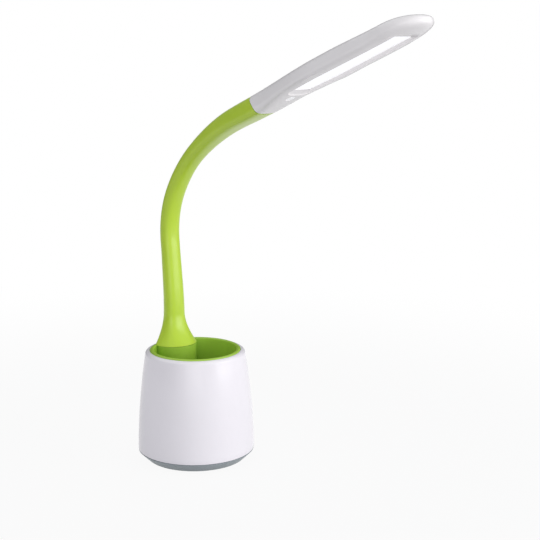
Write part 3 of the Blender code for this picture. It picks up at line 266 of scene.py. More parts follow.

# %% [markdown]
# ## Small plastic parts
#
# The touch pad is a pale translucent ABS cap with a faint glow, which is
# painted light that brightens it. The power inlet and the inner leads are
# black, and the tongue of the charging socket is white nylon. Their fine grain
# is drawn 0.6 mm wide.

# %% Pale, black and white plastics
pale_grey = moulded(
    "satin_moulded_pale_abs_with_painted_glow",
    ("#F0EFF2", "#F7F6F9"),
    rough=(0.25, 0.35),
    sizes=(8, 3, 0.6),
    depth=0.008,
    # This emission is a painted glow that brightens the touch pad.
    Emission_Color=linear("#FFFFFF"),
    Emission_Strength=0.2,
    IOR=1.53,
)
black_plastic = moulded(
    "satin_black_moulded_nylon",
    ("#141415", "#1E1E20"),
    rough=(0.3, 0.42),
    sizes=(10, 3, 0.6),
    depth=0.01,
    IOR=1.53,
)
white_nylon = moulded(
    "satin_white_moulded_nylon",
    ("#DAD9D4", "#E4E3DE"),
    rough=(0.35, 0.45),
    sizes=(6, 3, 0.6),
    depth=0.008,
    IOR=1.53,
)

# %% [markdown]
# ## Opal panel
#
# The light window is closed by a sheet of opal polycarbonate with the lamp
# switched on behind it. The sheet scatters the light so well that it looks
# evenly white. The light chips stand about 20 mm apart, and a faint smooth
# pattern of that size in the sheet's colour is their painted light. The sheet
# glows by itself, because a lamp inside the head would make the picture noisy.

# %% Opal polycarbonate
diffuser_white = moulded(
    "opal_extruded_polycarbonate",
    ("#EDEEF2", "#F4F5F8"),
    rough=(0.3, 0.38),
    # The 20 mm pattern in the colour is painted light of the chips.
    sizes=(20, 10, 1.2),
    depth=0.005,
    IOR=1.58,
    Emission_Color=linear("#FFFFFF"),
    Emission_Strength=0.45,
)

# %% [markdown]
# ## Metals
#
# The gooseneck links, the screws and the socket's sleeve are zinc-plated
# steel, and the heat spreader is rolled aluminium sheet. Metals keep the
# default IOR. Turned parts have fine rings about 0.2 mm apart, drawn 0.6 mm
# apart, and rolled sheet has long streaks. One stretched noise gives the tone,
# the gloss and the relief.


# %% Steel, aluminium and gold
STREAK_DEPTH = 0.01


def metal(name, colours, rough, stretch):
    """A metal with streaks: stretch is the streak's size along x, y and z in millimetres."""
    made, tree, shader = new_finish(name, Metallic=1.0)
    place = add_node(tree, "TexCoord", {}).outputs["Object"]
    scale = tuple(per_size(size) for size in stretch)
    spread = add_node(tree, "Mapping", {"Vector": place, "Scale": scale}).outputs["Vector"]
    inputs = {"Vector": spread, "Scale": 1.0, "Detail": 3.0}
    streak = add_node(tree, "TexNoise", inputs).outputs["Fac"]
    link_patterns(tree, shader, colours, rough, STREAK_DEPTH, streak, streak, streak)
    return made


steel = metal("zinc_plated_turned_steel", ("#9A9CA0", "#B9BBBF"), (0.25, 0.4), (6, 6, 0.6))
aluminium = metal("rolled_aluminium_sheet", ("#C4C6C9", "#DADCDE"), (0.3, 0.45), (30, 0.8, 30))
gold = metal("gold_plated_contact", ("#C9A24A", "#DDBA66"), (0.2, 0.3), (3, 0.6, 3))

# %% [markdown]
# ## Circuit boards
#
# The boards are glass-fibre laminate with a solder mask, green on the control
# board and white on the light board. The weave of the glass shows faintly
# through the mask as small squares, about 0.5 mm in reality and 1.5 mm here.

# %% Circuit boards
WEAVE = 1.5
WEAVE_DEPTH = 0.01


def laminate(name, colours):
    """Solder-masked laminate with the glass weave showing faintly."""
    made, tree, shader = new_finish(name, IOR=1.55, Roughness=0.35)
    place = add_node(tree, "TexCoord", {}).outputs["Object"]
    dark, light = (linear(colour) for colour in colours)
    squares = {"Vector": place, "Scale": per_size(WEAVE), "Color1": dark, "Color2": light}
    weave = add_node(tree, "TexChecker", squares)
    tree.links.new(weave.outputs["Color"], shader.inputs["Base Color"])
    raised = {"Height": weave.outputs["Fac"], "Strength": 1.0, "Distance": WEAVE_DEPTH * MM}
    bump = add_node(tree, "Bump", raised)
    tree.links.new(bump.outputs["Normal"], shader.inputs["Normal"])
    return made


circuit_board = laminate("green_solder_masked_laminate", ("#14502C", "#185A33"))
white_board = laminate("white_solder_masked_laminate", ("#DCDCD6", "#E6E6E0"))
print("finishes:", ", ".join(m.name for m in bpy.data.materials if m.users == 0))

# %% [markdown]
# ## Finishing the parts that keep their CAD shape
#
# Screws, boards, links and leads are inside the lamp and their CAD shape is
# right, so they only get a better material. A node is found by the beginning
# of its name, because many are numbered.

# %% Finishes on carried-over parts
KEPT = (
    (steel, "base_screw_", "board_screw_", "led_screw_", "neck_link_", "neck_ferrule"),
    (steel, "head_ferrule", "ferrule_", "ballast_plate"),
    (black_plastic, "base_lead", "link_lead_", "head_lead"),
    (circuit_board, "control_board", "touch_board"),
    (white_board, "led_board"),
    (aluminium, "heat_spreader"),
)
kept_count = 0
for node_name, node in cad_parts.items():
    for finish, *beginnings in KEPT:
        if node_name.startswith(tuple(beginnings)):
            for slot in node.material_slots:
                slot.material = finish
            kept_count += 1
print(kept_count, "parts keep their CAD shape")

# %% [markdown]
# ## Turning a piece
#
# Round parts are turned: their cross-section is drawn by extruding one vertex
# from corner to corner, and spun round the axis. Blender may number the new
# points in another order each time, so each mesh is sorted at the end by
# distance from one far point.

# %% Helpers for turned pieces
SORTING_POINT = (0.731, -0.417, 0.913)
DOUBLES = 0.002 * MM


def deselect_all():
    """Leave nothing selected, because operators act on all that is."""
    bpy.ops.object.select_all(action="DESELECT")
    bpy.context.tool_settings.mesh_select_mode = (True, False, False)


def begin(primitive, name, **sizes):
    """Add a primitive by itself and open it in edit mode."""
    deselect_all()
    primitive(**sizes)
    piece = bpy.context.object
    piece.name = name
    bpy.ops.object.mode_set(mode="EDIT")
    return piece


def put_in_order():
    """Number points, edges and faces by their distance from the sorting point."""
    cursor = bpy.context.scene.cursor
    cursor.location = SORTING_POINT
    bpy.ops.mesh.sort_elements(type="CURSOR_DISTANCE", elements={"VERT", "EDGE", "FACE"})
    cursor.location = (0, 0, 0)


def close_up(piece, angle=35):
    """Merge doubles, turn faces outwards, leave edit mode and shade smooth by angle."""
    bpy.ops.mesh.select_all(action="SELECT")
    bpy.ops.mesh.remove_doubles(threshold=DOUBLES)
    bpy.ops.mesh.normals_make_consistent(inside=False)
    put_in_order()
    bpy.ops.object.mode_set(mode="OBJECT")
    bpy.ops.object.transform_apply(location=True, rotation=True, scale=True)
    bpy.ops.object.shade_smooth_by_angle(angle=math.radians(angle))
    return piece


def turned(name, profile, centre=(0, 0), steps=128, angle=35):
    """Spin a cross-section of (radius, height) round an upright axis."""
    piece = begin(bpy.ops.mesh.primitive_plane_add, name, size=MM)
    bpy.ops.mesh.merge(type="CENTER")
    start = profile[0]
    bpy.ops.transform.translate(value=(centre[0] + start[0], centre[1], start[1]))
    for here, there in zip(profile, profile[1:]):
        move = {"value": (there[0] - here[0], 0, there[1] - here[1])}
        bpy.ops.mesh.extrude_vertices_move(TRANSFORM_OT_translate=move)
    bpy.ops.mesh.select_all(action="SELECT")
    bpy.ops.mesh.spin(steps=steps, angle=math.tau, center=(*centre, 0), axis=(0, 0, 1))
    return close_up(piece, angle)


# %% [markdown]
# ## Lofting a piece
#
# The neck and the head change their section along their length, so they are
# lofted: a circle is extruded ring by ring, and the points of each new ring
# are set on its section in code, because no operator gives a rounded section
# whose front and back differ.


# %% Helpers for lofted pieces
def next_ring(work, ring):
    """After an extrusion, the new points that hang on the points of this ring, in order."""
    work.verts.ensure_lookup_table()
    found = []
    for number in ring:
        vertex = work.verts[number]
        others = [edge.other_vert(vertex) for edge in vertex.link_edges]
        found.append(next(other.index for other in others if other.select))
    return found


def set_ring(work, ring, places):
    """Put the points of a ring on the places of its section."""
    work.verts.ensure_lookup_table()
    for number, place in zip(ring, places):
        work.verts[number].co = place


def lofted(name, sections, capped=False):
    """Extrude a circle from section to section. A capped loft gets a face at both ends."""
    count = len(sections[0])
    piece = begin(bpy.ops.mesh.primitive_circle_add, name, vertices=count, radius=10 * MM)
    bpy.ops.mesh.select_all(action="SELECT")
    if capped:
        bpy.ops.mesh.edge_face_add()
    work = bmesh.from_edit_mesh(piece.data)
    ring = list(range(count))
    set_ring(work, ring, sections[0])
    for places in sections[1:]:
        bpy.ops.mesh.extrude_region()
        work = bmesh.from_edit_mesh(piece.data)
        work.verts.index_update()
        ring = next_ring(work, ring)
        set_ring(work, ring, places)
    bmesh.update_edit_mesh(piece.data)
    return close_up(piece)


# %% [markdown]
# ## Cutting and finishing
#
# Openings are cut with a Boolean modifier. Each finished piece gets its
# material and its body, and the CAD nodes that it stands for are hidden.


# %% Helpers for cutting and finishing
def select_only(piece):
    """Select one object and make it the active one."""
    deselect_all()
    bpy.context.view_layer.objects.active = piece
    piece.select_set(True)


def cut(piece, tool, operation="DIFFERENCE", keep_tool=False):
    """Cut piece with tool, or join them, and apply it."""
    select_only(piece)
    step = piece.modifiers.new("cut", "BOOLEAN")
    step.object = tool
    step.operation = operation
    step.solver = "EXACT"
    bpy.ops.object.modifier_apply(modifier=step.name)
    if not keep_tool:
        bpy.data.objects.remove(tool, do_unlink=True)


def finish_piece(piece, finish, body, slot_name, *nodes, angle=35):
    """Give a piece its finish and its body, and hide the CAD nodes that it stands for."""
    select_only(piece)
    bpy.ops.object.shade_smooth_by_angle(angle=math.radians(angle))
    piece.data.materials.clear()
    piece.data.materials.append(finish)
    if body:
        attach(piece, body)
    if nodes:
        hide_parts(*nodes)
    print(piece.name, len(piece.data.polygons), "faces")


# %% Helpers for sizes
def eased(value, start, end):
    """0 before start, 1 after end, and a smooth step between them."""
    share = min(max((value - start) / (end - start), 0), 1)
    return share * share * (3 - 2 * share)


def between(first, second, share):
    """The value at this share of the way from first to second."""
    return first + (second - first) * share


def arc(centre, across, up, start, end, steps):
    """Points of an elliptic arc, angles from the +X side towards +Z, in radians."""
    spots = [start + (end - start) * k / steps for k in range(steps + 1)]
    return [
        (centre[0] + across * math.cos(spot), centre[1] + up * math.sin(spot)) for spot in spots
    ]


# %% [markdown]
# ## The white shell
#
# The shell of the base is a cup without a bottom, moulded in one piece. Its
# wall draws in a little more the higher it goes, and rolls over into a lip
# that covers the edge of the green cup. It is turned and not thickened by a
# modifier, because its inside has steps of its own.

# %% White shell
CUP_RADIUS = 60 * MM
CUP_DRAW_IN = 8.6 * MM
CUP_DRAW_POWER = 1.8
SHELL_WALL = 2.4 * MM
SHELL_FOOT_Z = 11 * MM
FOOT_ROUNDING = 0.7 * MM
RIM_Z = 115 * MM
LIP_HEIGHT = 3.4 * MM
LIP_INNER_RADIUS = 46.8 * MM
LIP_LEDGE_Z = 112 * MM
LEDGE_RADIUS = 44.8 * MM
LIP_FLANGE = 2.4 * MM
WALL_STEPS = 20
GAP = 0.3 * MM


def cup_radius(height):
    """Outer radius of the white shell at this height."""
    share = (height - SHELL_FOOT_Z) / (RIM_Z - LIP_HEIGHT - SHELL_FOOT_Z)
    return CUP_RADIUS - CUP_DRAW_IN * max(share, 0) ** CUP_DRAW_POWER


lip_z = RIM_Z - LIP_HEIGHT
lip_width = cup_radius(lip_z) - LIP_INNER_RADIUS
wall_foot = SHELL_FOOT_Z + FOOT_ROUNDING
profile = arc((LIP_INNER_RADIUS, lip_z), lip_width, LIP_HEIGHT, math.pi / 2, 0, 12)
wall_heights = [between(lip_z, wall_foot, k / WALL_STEPS) for k in range(1, WALL_STEPS + 1)]
profile += [(cup_radius(z), z) for z in wall_heights]
foot_centre = (CUP_RADIUS - FOOT_ROUNDING, wall_foot)
profile += arc(foot_centre, FOOT_ROUNDING, FOOT_ROUNDING, 0, -math.pi / 2, 4)[1:]
inner_heights = [SHELL_FOOT_Z, 40 * MM, 60 * MM, 80 * MM, 95 * MM, LIP_LEDGE_Z - LIP_FLANGE]
profile += [(cup_radius(z) - SHELL_WALL, z) for z in inner_heights]
profile += [(LEDGE_RADIUS, LIP_LEDGE_Z - LIP_FLANGE), (LEDGE_RADIUS, LIP_LEDGE_Z)]
profile += [(LIP_INNER_RADIUS, LIP_LEDGE_Z), (LIP_INNER_RADIUS, RIM_Z)]
outer_shell = turned("white_shell", profile)
print("the shell draws in to", round(2 * cup_radius(lip_z) / MM, 1), "mm at its lip")

# %% [markdown]
# ## Sockets in the back
#
# Low in the back are a charging socket and a round inlet for the lamp's own
# power supply. A block with rounded corners and a round rod cut their
# openings.

# %% Helpers for blocks and rods
HALF_EDGE = 0.5


def rounded_block(name, low, high, rounding, steps=4):
    """A block between two corners whose four edges along X are rounded."""
    middle = (Vector(low) + Vector(high)) / 2
    size = Vector(high) - Vector(low)
    piece = begin(bpy.ops.mesh.primitive_cube_add, name, size=1, location=middle, scale=size)
    work = bmesh.from_edit_mesh(piece.data)
    for edge in work.edges:
        along = edge.verts[0].co - edge.verts[1].co
        edge.select_set(abs(along.x) > HALF_EDGE > max(abs(along.y), abs(along.z)))
    bmesh.update_edit_mesh(piece.data)
    bpy.ops.object.mode_set(mode="OBJECT")
    bpy.ops.object.transform_apply(location=True, rotation=True, scale=True)
    bpy.ops.object.mode_set(mode="EDIT")
    bpy.context.tool_settings.mesh_select_mode = (False, True, False)
    bpy.ops.mesh.bevel(offset=rounding, segments=steps, affect="EDGES")
    return close_up(piece)


def rod(name, radius, start, end, sides=48):
    """A round rod between two points."""
    axis = Vector(end) - Vector(start)
    turn = axis.to_track_quat("Z", "Y").to_euler()
    piece = begin(
        bpy.ops.mesh.primitive_cylinder_add,
        name,
        vertices=sides,
        radius=radius,
        depth=axis.length,
        location=(Vector(start) + Vector(end)) / 2,
        rotation=turn,
    )
    return close_up(piece)


# %% Socket openings
USB_OPENING_ROUNDING = 0.8 * MM
JACK_NOSE_RADIUS = 4.2 * MM
usb_low, usb_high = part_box("usb_socket")
jack_low, jack_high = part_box("power_jack")
jack_centre = (jack_low + jack_high) / 2
behind = -CUP_RADIUS - 2 * MM
usb_hole = rounded_block(
    "usb_hole",
    (behind, usb_low.y - GAP, usb_low.z - GAP),
    (usb_high.x, usb_high.y + GAP, usb_high.z + GAP),
    USB_OPENING_ROUNDING,
)
cut(outer_shell, usb_hole)
jack_hole = rod(
    "jack_hole",
    JACK_NOSE_RADIUS + GAP,
    (behind, jack_centre.y, jack_centre.z),
    (jack_high.x, jack_centre.y, jack_centre.z),
)
cut(outer_shell, jack_hole)
finish_piece(outer_shell, gloss_white, "base", "gloss_white", "outer_shell")

# %% [markdown]
# ## The charging socket
#
# It is a folded steel sleeve, a rounded block that a smaller one hollows, with
# a white tongue inside and four gold contacts under the tongue.

# %% Charging socket
SOCKET_WALL = 0.4 * MM
TONGUE_THICKNESS = 1.8 * MM
TONGUE_SETBACK = 1.6 * MM
TONGUE_SIDE_GAP = 1.1 * MM
TONGUE_DROP = 3.3 * MM
usb_sleeve = rounded_block("charging_socket_sleeve", usb_low, usb_high, 0.9 * MM)
inset = Vector((SOCKET_WALL, SOCKET_WALL, SOCKET_WALL))
mouth_low = usb_low + inset - Vector((2 * MM, 0, 0))
cut(usb_sleeve, rounded_block("sleeve_mouth", mouth_low, usb_high - inset, 0.5 * MM))
finish_piece(usb_sleeve, steel, "base", "steel", "usb_socket")

tongue_low = Vector((usb_low.x + TONGUE_SETBACK, usb_low.y + TONGUE_SIDE_GAP, 0))
tongue_low.z = usb_high.z - TONGUE_DROP
tongue_high = Vector((usb_high.x - SOCKET_WALL, usb_high.y - TONGUE_SIDE_GAP, 0))
tongue_high.z = tongue_low.z + TONGUE_THICKNESS
tongue = rounded_block("charging_socket_tongue", tongue_low, tongue_high, 0.3 * MM, 2)
finish_piece(tongue, white_nylon, "base", "pale_grey")

CONTACT_SPACING = 2.4 * MM
CONTACT_HALF = 0.5 * MM
CONTACT_ENDS = (0.5 * MM, 8 * MM)
CONTACT_HEIGHTS = (-0.15 * MM, 0.3 * MM)
usb_middle = (usb_low + usb_high) / 2
for number in range(4):
    y = usb_middle.y + (number - 1.5) * CONTACT_SPACING
    corners = [
        (tongue_low.x + reach, y + side * CONTACT_HALF, tongue_low.z + height)
        for reach, side, height in zip(CONTACT_ENDS, (-1, 1), CONTACT_HEIGHTS)
    ]
    contact = rounded_block(f"charging_socket_contact_{number + 1}", *corners, 0.1 * MM, 2)
    finish_piece(contact, gold, "base", "steel")

# %% [markdown]
# ## The power inlet
#
# A black moulded body with a round nose in the hole of the shell, and a pin in
# its bore, made with the same block and rod.

# %% Power inlet
JACK_NOSE_LENGTH = 8 * MM
JACK_BODY_SETBACK = 5.6 * MM
JACK_BORE_RADIUS = 3.1 * MM
JACK_BORE_DEPTH = 9.5 * MM
JACK_PIN_RADIUS = 1 * MM
JACK_PIN_END = 12 * MM / 1.1


def along_jack(depth):
    """A point on the axis of the inlet, this deep behind its nose."""
    return (jack_low.x + depth, jack_centre.y, jack_centre.z)


body_low = (jack_low.x + JACK_BODY_SETBACK, jack_low.y, jack_low.z)
jack = rounded_block("power_inlet", body_low, jack_high, 0.6 * MM, 3)
nose = rod("jack_nose", JACK_NOSE_RADIUS, along_jack(0), along_jack(JACK_NOSE_LENGTH))
cut(jack, nose, "UNION")
cut(jack, rod("jack_bore", JACK_BORE_RADIUS, along_jack(-1 * MM), along_jack(JACK_BORE_DEPTH)))
finish_piece(jack, black_plastic, "base", "black_plastic", "power_jack")
pin = rod("power_inlet_pin", JACK_PIN_RADIUS, along_jack(1 * MM), along_jack(JACK_PIN_END), 24)
finish_piece(pin, steel, "base", "steel")

# %% [markdown]
# ## Base plate
#
# The grey bottom narrows below the shell in a chamfer, so the lamp seems to
# float a little. The small roundings at the chamfer's edges are part of its
# cross-section, because a bevel would round the hidden edges too.

# %% Base plate
PLATE_TOP_Z = SHELL_FOOT_Z - GAP
PLATE_BOTTOM_Z = 1.2 * MM
PLATE_CHAMFER = 9.6 * MM
PLATE_FLOOR_Z = 4.2 * MM
PLATE_INNER = CUP_RADIUS - SHELL_WALL - GAP
SPIGOT_TOP = PLATE_TOP_Z + 4 * MM
SPIGOT_WALL = 1.8 * MM
PAD_RADIUS = 46 * MM
RECESS_Z = PLATE_BOTTOM_Z + 0.9 * MM
BALLAST_RADIUS = 50 * MM
PILLAR_RADIUS = 3 * MM
EDGE = 0.5 * MM

profile = [
    (0, PLATE_FLOOR_Z),
    (BALLAST_RADIUS + GAP, PLATE_FLOOR_Z),
    (PLATE_INNER - SPIGOT_WALL, PLATE_TOP_Z),
    (PLATE_INNER - SPIGOT_WALL, SPIGOT_TOP),
    (PLATE_INNER - EDGE, SPIGOT_TOP),
    (PLATE_INNER, SPIGOT_TOP - EDGE),
    (PLATE_INNER, PLATE_TOP_Z),
    (CUP_RADIUS - 0.6 * MM, PLATE_TOP_Z),
    (CUP_RADIUS - 0.2 * MM, PLATE_TOP_Z - 0.15 * MM),
    (CUP_RADIUS - 0.25 * MM, PLATE_TOP_Z - 0.5 * MM),
    (CUP_RADIUS - PLATE_CHAMFER + EDGE, PLATE_BOTTOM_Z + 0.45 * MM),
    (CUP_RADIUS - PLATE_CHAMFER, PLATE_BOTTOM_Z + 0.1 * MM),
    (CUP_RADIUS - PLATE_CHAMFER - EDGE, PLATE_BOTTOM_Z),
    (PAD_RADIUS + GAP, PLATE_BOTTOM_Z),
    (PAD_RADIUS + GAP, RECESS_Z),
    (0, RECESS_Z),
]
base_plate = turned("grey_base_plate", profile, angle=25)
board_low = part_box("control_board")[0]
screw_low, screw_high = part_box("board_screw_1")
pillar_x = (screw_low.x + screw_high.x) / 2
pillar_y = abs(screw_low.y + screw_high.y) / 2
for side in (-1, 1):
    foot = (pillar_x, side * pillar_y, PLATE_FLOOR_Z - MM)
    top = (pillar_x, side * pillar_y, board_low.z - GAP)
    cut(base_plate, rod("board_pillar", PILLAR_RADIUS, foot, top, 32), "UNION")
finish_piece(base_plate, cool_grey, "base", "cool_grey", "base_plate", angle=25)

# %% [markdown]
# ## Rubber pad
#
# The pad keeps the lamp from sliding. The five shallow rings in its underside
# are part of its cross-section too, so they cost no cut.

# %% Rubber pad
PAD_TOP = RECESS_Z - GAP
RING_SPACING = 8 * MM
RING_WIDTH = 1.2 * MM
RING_DEPTH = 0.5 * MM
RING_SLOPE = 0.2 * MM
profile = [(0, PAD_TOP), (PAD_RADIUS, PAD_TOP), (PAD_RADIUS, EDGE), (PAD_RADIUS - EDGE, 0)]
for number in range(5, 0, -1):
    radius = number * RING_SPACING
    profile += [
        (radius + RING_WIDTH, 0),
        (radius + RING_WIDTH - RING_SLOPE, RING_DEPTH),
        (radius + RING_SLOPE, RING_DEPTH),
        (radius, 0),
    ]
profile.append((0, 0))
base_pad = turned("rubber_pad", profile, angle=25)
finish_piece(base_pad, black_rubber, "base", "black_rubber", "base_pad", angle=25)

# %% [markdown]
# ## The pen cup
#
# The green cup hangs in the shell by its rolled bead. A hollow tower inside it
# carries the neck, and its top is the deck that the sleeve stands on. The cup
# and the space inside it are both turned, and the space, less the tower, is
# cut away.

# %% Pen cup
BEAD_RADIUS = LIP_INNER_RADIUS - GAP
BEAD_WIDTH = 4 * MM
BEAD_RISE = 1.3 * MM
LINER_RADIUS = LEDGE_RADIUS - GAP
LINER_DRAFT = 1.4 * MM
LINER_WALL = 1.9 * MM
LINER_FLOOR_Z = 42 * MM
LINER_BOTTOM_Z = 39.8 * MM
FLOOR_ROUNDING = 3 * MM


def liner_radius(height, inset):
    """Outer radius of the cup's drafted wall, less an inset."""
    share = (RIM_Z - height) / (RIM_Z - LINER_FLOOR_Z)
    return LINER_RADIUS - LINER_DRAFT * share - inset


def floor_arc(height, inset):
    """The rounded corner between the cup's wall and its floor, at this height."""
    centre = (liner_radius(height, inset) - FLOOR_ROUNDING, height + FLOOR_ROUNDING)
    return arc(centre, FLOOR_ROUNDING, FLOOR_ROUNDING, 0, -math.pi / 2, 6)


bead_inner = BEAD_RADIUS - BEAD_WIDTH
bead_centre = (BEAD_RADIUS - BEAD_WIDTH / 2, RIM_Z)
profile = [(0, RIM_Z)]
profile += arc(bead_centre, BEAD_WIDTH / 2, BEAD_RISE, math.pi, 0, 16)
profile += [(BEAD_RADIUS, LIP_LEDGE_Z + GAP), (LINER_RADIUS, LIP_LEDGE_Z + GAP)]
profile += [*floor_arc(LINER_BOTTOM_Z, 0), (0, LINER_BOTTOM_Z)]
pen_cup = turned("lime_pen_cup", profile)

above = RIM_Z + BEAD_RISE + 2 * MM
profile = [(0, above), (bead_inner, above), (bead_inner, RIM_Z), (bead_inner, RIM_Z - MM)]
profile += [*floor_arc(LINER_FLOOR_Z, LINER_WALL), (0, LINER_FLOOR_Z)]
pen_space = turned("pen_space", profile)
print("the cup is", round((RIM_Z - LINER_FLOOR_Z) / MM, 1), "mm deep")

# %% [markdown]
# ## The tower in the cup
#
# The tower is a round rod that is kept out of the space in the cup. It is
# hollow, and a hole in its deck lets the foot of the gooseneck and the lead
# through.

# %% Tower
NECK_X = -37 * MM
TOWER_RADIUS = 22.6 * MM
TOWER_WALL = 2 * MM
DECK_THICKNESS = 3.2 * MM
DECK_HOLE_RADIUS = 5.3 * MM


def neck_rod(name, radius, top, sides):
    """An upright rod on the neck's axis, from the floor up to this height."""
    return rod(name, radius, (NECK_X, 0, 0), (NECK_X, 0, top), sides)


cut(pen_space, neck_rod("tower", TOWER_RADIUS, above + 2 * MM, 128))
cut(pen_cup, pen_space)
cut(pen_cup, neck_rod("hollow", TOWER_RADIUS - TOWER_WALL, RIM_Z - DECK_THICKNESS, 96))
cut(pen_cup, neck_rod("hole", DECK_HOLE_RADIUS, above, 48))
print("the tower is", round(2 * TOWER_RADIUS / MM, 1), "mm across")

# %% [markdown]
# ## The neck's centreline
#
# The neck rises from the deck, leans back a little, and then bends forward in
# three arcs, tight at first and wider towards the head. A list of stretches
# with a length and a turn each gives the point and heading anywhere along it.
# Its seven pivots stand 46.5 mm apart.

# %% The neck's centreline
STRETCHES = (
    (32 * MM, 0),
    (30 * MM, math.radians(5.5)),
    (45.2 * MM, 0),
    (90 * MM * math.radians(35.6), -math.radians(35.6)),
    (148 * MM * math.radians(22.4), -math.radians(22.4)),
    (277 * MM * math.radians(16.7), -math.radians(16.7)),
    (35.3 * MM, 0),
)
NECK_LENGTH = sum(length for length, turn in STRETCHES)
FIRST_PIVOT = 32 * MM
PIVOT_STEP = 46.5 * MM
PIVOTS = [FIRST_PIVOT + k * PIVOT_STEP for k in range(7)]


def centreline(along):
    """Point (x, z) and heading of the neck, this far along it from the deck."""
    x, z, heading = NECK_X, RIM_Z, math.pi / 2
    left = along
    for number, (length, turn) in enumerate(STRETCHES):
        last = number == len(STRETCHES) - 1
        run = left if last else min(left, length)
        if turn:
            rate = turn / length
            swung = heading + rate * run
            x += (math.sin(swung) - math.sin(heading)) / rate
            z -= (math.cos(swung) - math.cos(heading)) / rate
            heading = swung
        else:
            x += run * math.cos(heading)
            z += run * math.sin(heading)
        left -= run
        if left <= 0:
            break
    return x, z, heading


def neck_frame(along):
    """Matrix whose +X runs along the neck, +Y is the lamp's left and +Z its upper side."""
    x, z, heading = centreline(along)
    return Matrix.Translation((x, 0, z)) @ Matrix.Rotation(-heading, 4, "Y")


end_rise = math.degrees(centreline(NECK_LENGTH)[2])
print("neck", round(NECK_LENGTH / MM, 1), "mm, rising", round(end_rise, 1), "degrees at its end")

# %% [markdown]
# ## Rounded sections
#
# A section is a curve between an ellipse and a rectangle, and its upper and
# lower halves may differ. Its points are spaced evenly along the curve,
# because equal angles would crowd them at the corners.

# %% Rounded sections
SECTION_POINTS = 96
FINE_POINTS = 720


def fine_section(half_width, up, down, squareness, down_squareness):
    """Many points (y, z) round a section, at equal angles."""
    fine = []
    for k in range(FINE_POINTS + 1):
        angle = math.tau * k / FINE_POINTS
        across, rise = math.cos(angle), math.sin(angle)
        power = squareness if rise > 0 else down_squareness
        y = half_width * math.copysign(abs(across) ** (2 / power), across)
        height = up if rise > 0 else down
        fine.append((y, height * math.copysign(abs(rise) ** (2 / power), rise)))
    return fine


def section(half_width, up, down, squareness, down_squareness, count=SECTION_POINTS):
    """Evenly spaced points (y, z) of a rounded section that may differ above and below."""
    fine = fine_section(half_width, up, down, squareness, down_squareness)
    walked = [0.0]
    for here, there in zip(fine, fine[1:]):
        walked.append(walked[-1] + math.dist(here, there))
    points = []
    number = 0
    for k in range(count):
        goal = walked[-1] * k / count
        while walked[number + 1] < goal:
            number += 1
        share = (goal - walked[number]) / (walked[number + 1] - walked[number])
        here, there = fine[number], fine[number + 1]
        points.append((between(here[0], there[0], share), between(here[1], there[1], share)))
    return points


# %% [markdown]
# ## Sections of the sleeve
#
# At the deck the sleeve spreads into a foot, as rubber does that is glued
# down. Above it the sleeve is nearly round, and towards the head it turns
# broader, with a rounded back and a flatter underside whose two edges show as
# soft creases. The sizes are half width, front and back.

# %% Sections of the sleeve
FOOT = (23.5 * MM, 22 * MM, 9.6 * MM)
STEM = (10.1 * MM, 8.1 * MM, 7.9 * MM)
END = (13 * MM, 10.3 * MM, 9.9 * MM)
TAPER = (1.6 * MM, 0.6 * MM, 2.6 * MM)
TAPER_LENGTH = 95 * MM
FLARE_POWER = 1.9
MORPH_START = 190 * MM
MORPH_END = 335 * MM
FOOT_SQUARENESS = 2.0
STEM_SQUARENESS = 2.2
END_SQUARENESS = 2.9
STEM_UNDER_SQUARENESS = 2.4
END_UNDER_SQUARENESS = 3.8


def sleeve_section(along):
    """Section of the sleeve: flared at the foot, tapering up, and broader at the head."""
    morph = eased(along, MORPH_START, MORPH_END)
    taper = max(1 - along / TAPER_LENGTH, 0)
    flare = max(1 - along / FIRST_PIVOT, 0) ** FLARE_POWER
    sizes = []
    for foot, stem, end, extra in zip(FOOT, STEM, END, TAPER):
        sizes.append(between(between(stem, end, morph) + extra * taper, foot, flare))
    back = between(between(STEM_SQUARENESS, END_SQUARENESS, morph), FOOT_SQUARENESS, flare)
    under = between(STEM_UNDER_SQUARENESS, END_UNDER_SQUARENESS, morph)
    under = between(under, FOOT_SQUARENESS, flare)
    half_width, front, rear = sizes
    return section(half_width, rear, front, back, under)


stem_width = 2 * max(y for y, z in sleeve_section(TAPER_LENGTH))
print("the stem is", round(stem_width / MM, 1), "mm wide")

# %% [markdown]
# ## Seat and screw posts
#
# The sleeve's foot stands in a shallow recess in the cup's bead, cut with the
# foot's own outline and a small gap. Under the floor, three posts with pilot
# holes take the screws that come up through the base plate.

# %% Seat and screw posts
POST_RADIUS = 4 * MM
POST_HEIGHTS = (4.5 * MM, 41 * MM)
PILOT_RADIUS = 1.3 * MM
PILOT_TOP = 18.5 * MM

half_width, front, rear = (size + GAP for size in FOOT)
outline = section(half_width, rear, front, FOOT_SQUARENESS, FOOT_SQUARENESS)
rings = [[(NECK_X - z, y, height) for y, z in outline] for height in (RIM_Z, above)]
cut(pen_cup, lofted("foot_seat", rings, capped=True))
post_boxes = [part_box(f"base_screw_{number}") for number in (1, 2, 3)]
for low, high in post_boxes:
    x, y = (low.x + high.x) / 2, (low.y + high.y) / 2
    post = rod("screw_post", POST_RADIUS, *((x, y, z) for z in POST_HEIGHTS), 32)
    cut(post, rod("pilot", PILOT_RADIUS, (x, y, 0), (x, y, PILOT_TOP), 24))
    cut(pen_cup, post, "UNION")
finish_piece(pen_cup, lime_plastic, "base", "lime_plastic", "pen_liner")

# %% [markdown]
# ## The silicone sleeve
#
# The real sleeve is one long moulding that bends everywhere. Here the
# gooseneck bends at seven pivots, so the sleeve is seven stretches that meet
# in the middle of the links. Each crosses one pivot.

# %% The silicone sleeve
SLANT = math.tan(math.radians(20))
SLANT_FADE = 24 * MM
RING_STEP = 1.6 * MM
BORE_RADIUS = 6.2 * MM
BLEND_REACH = 20 * MM


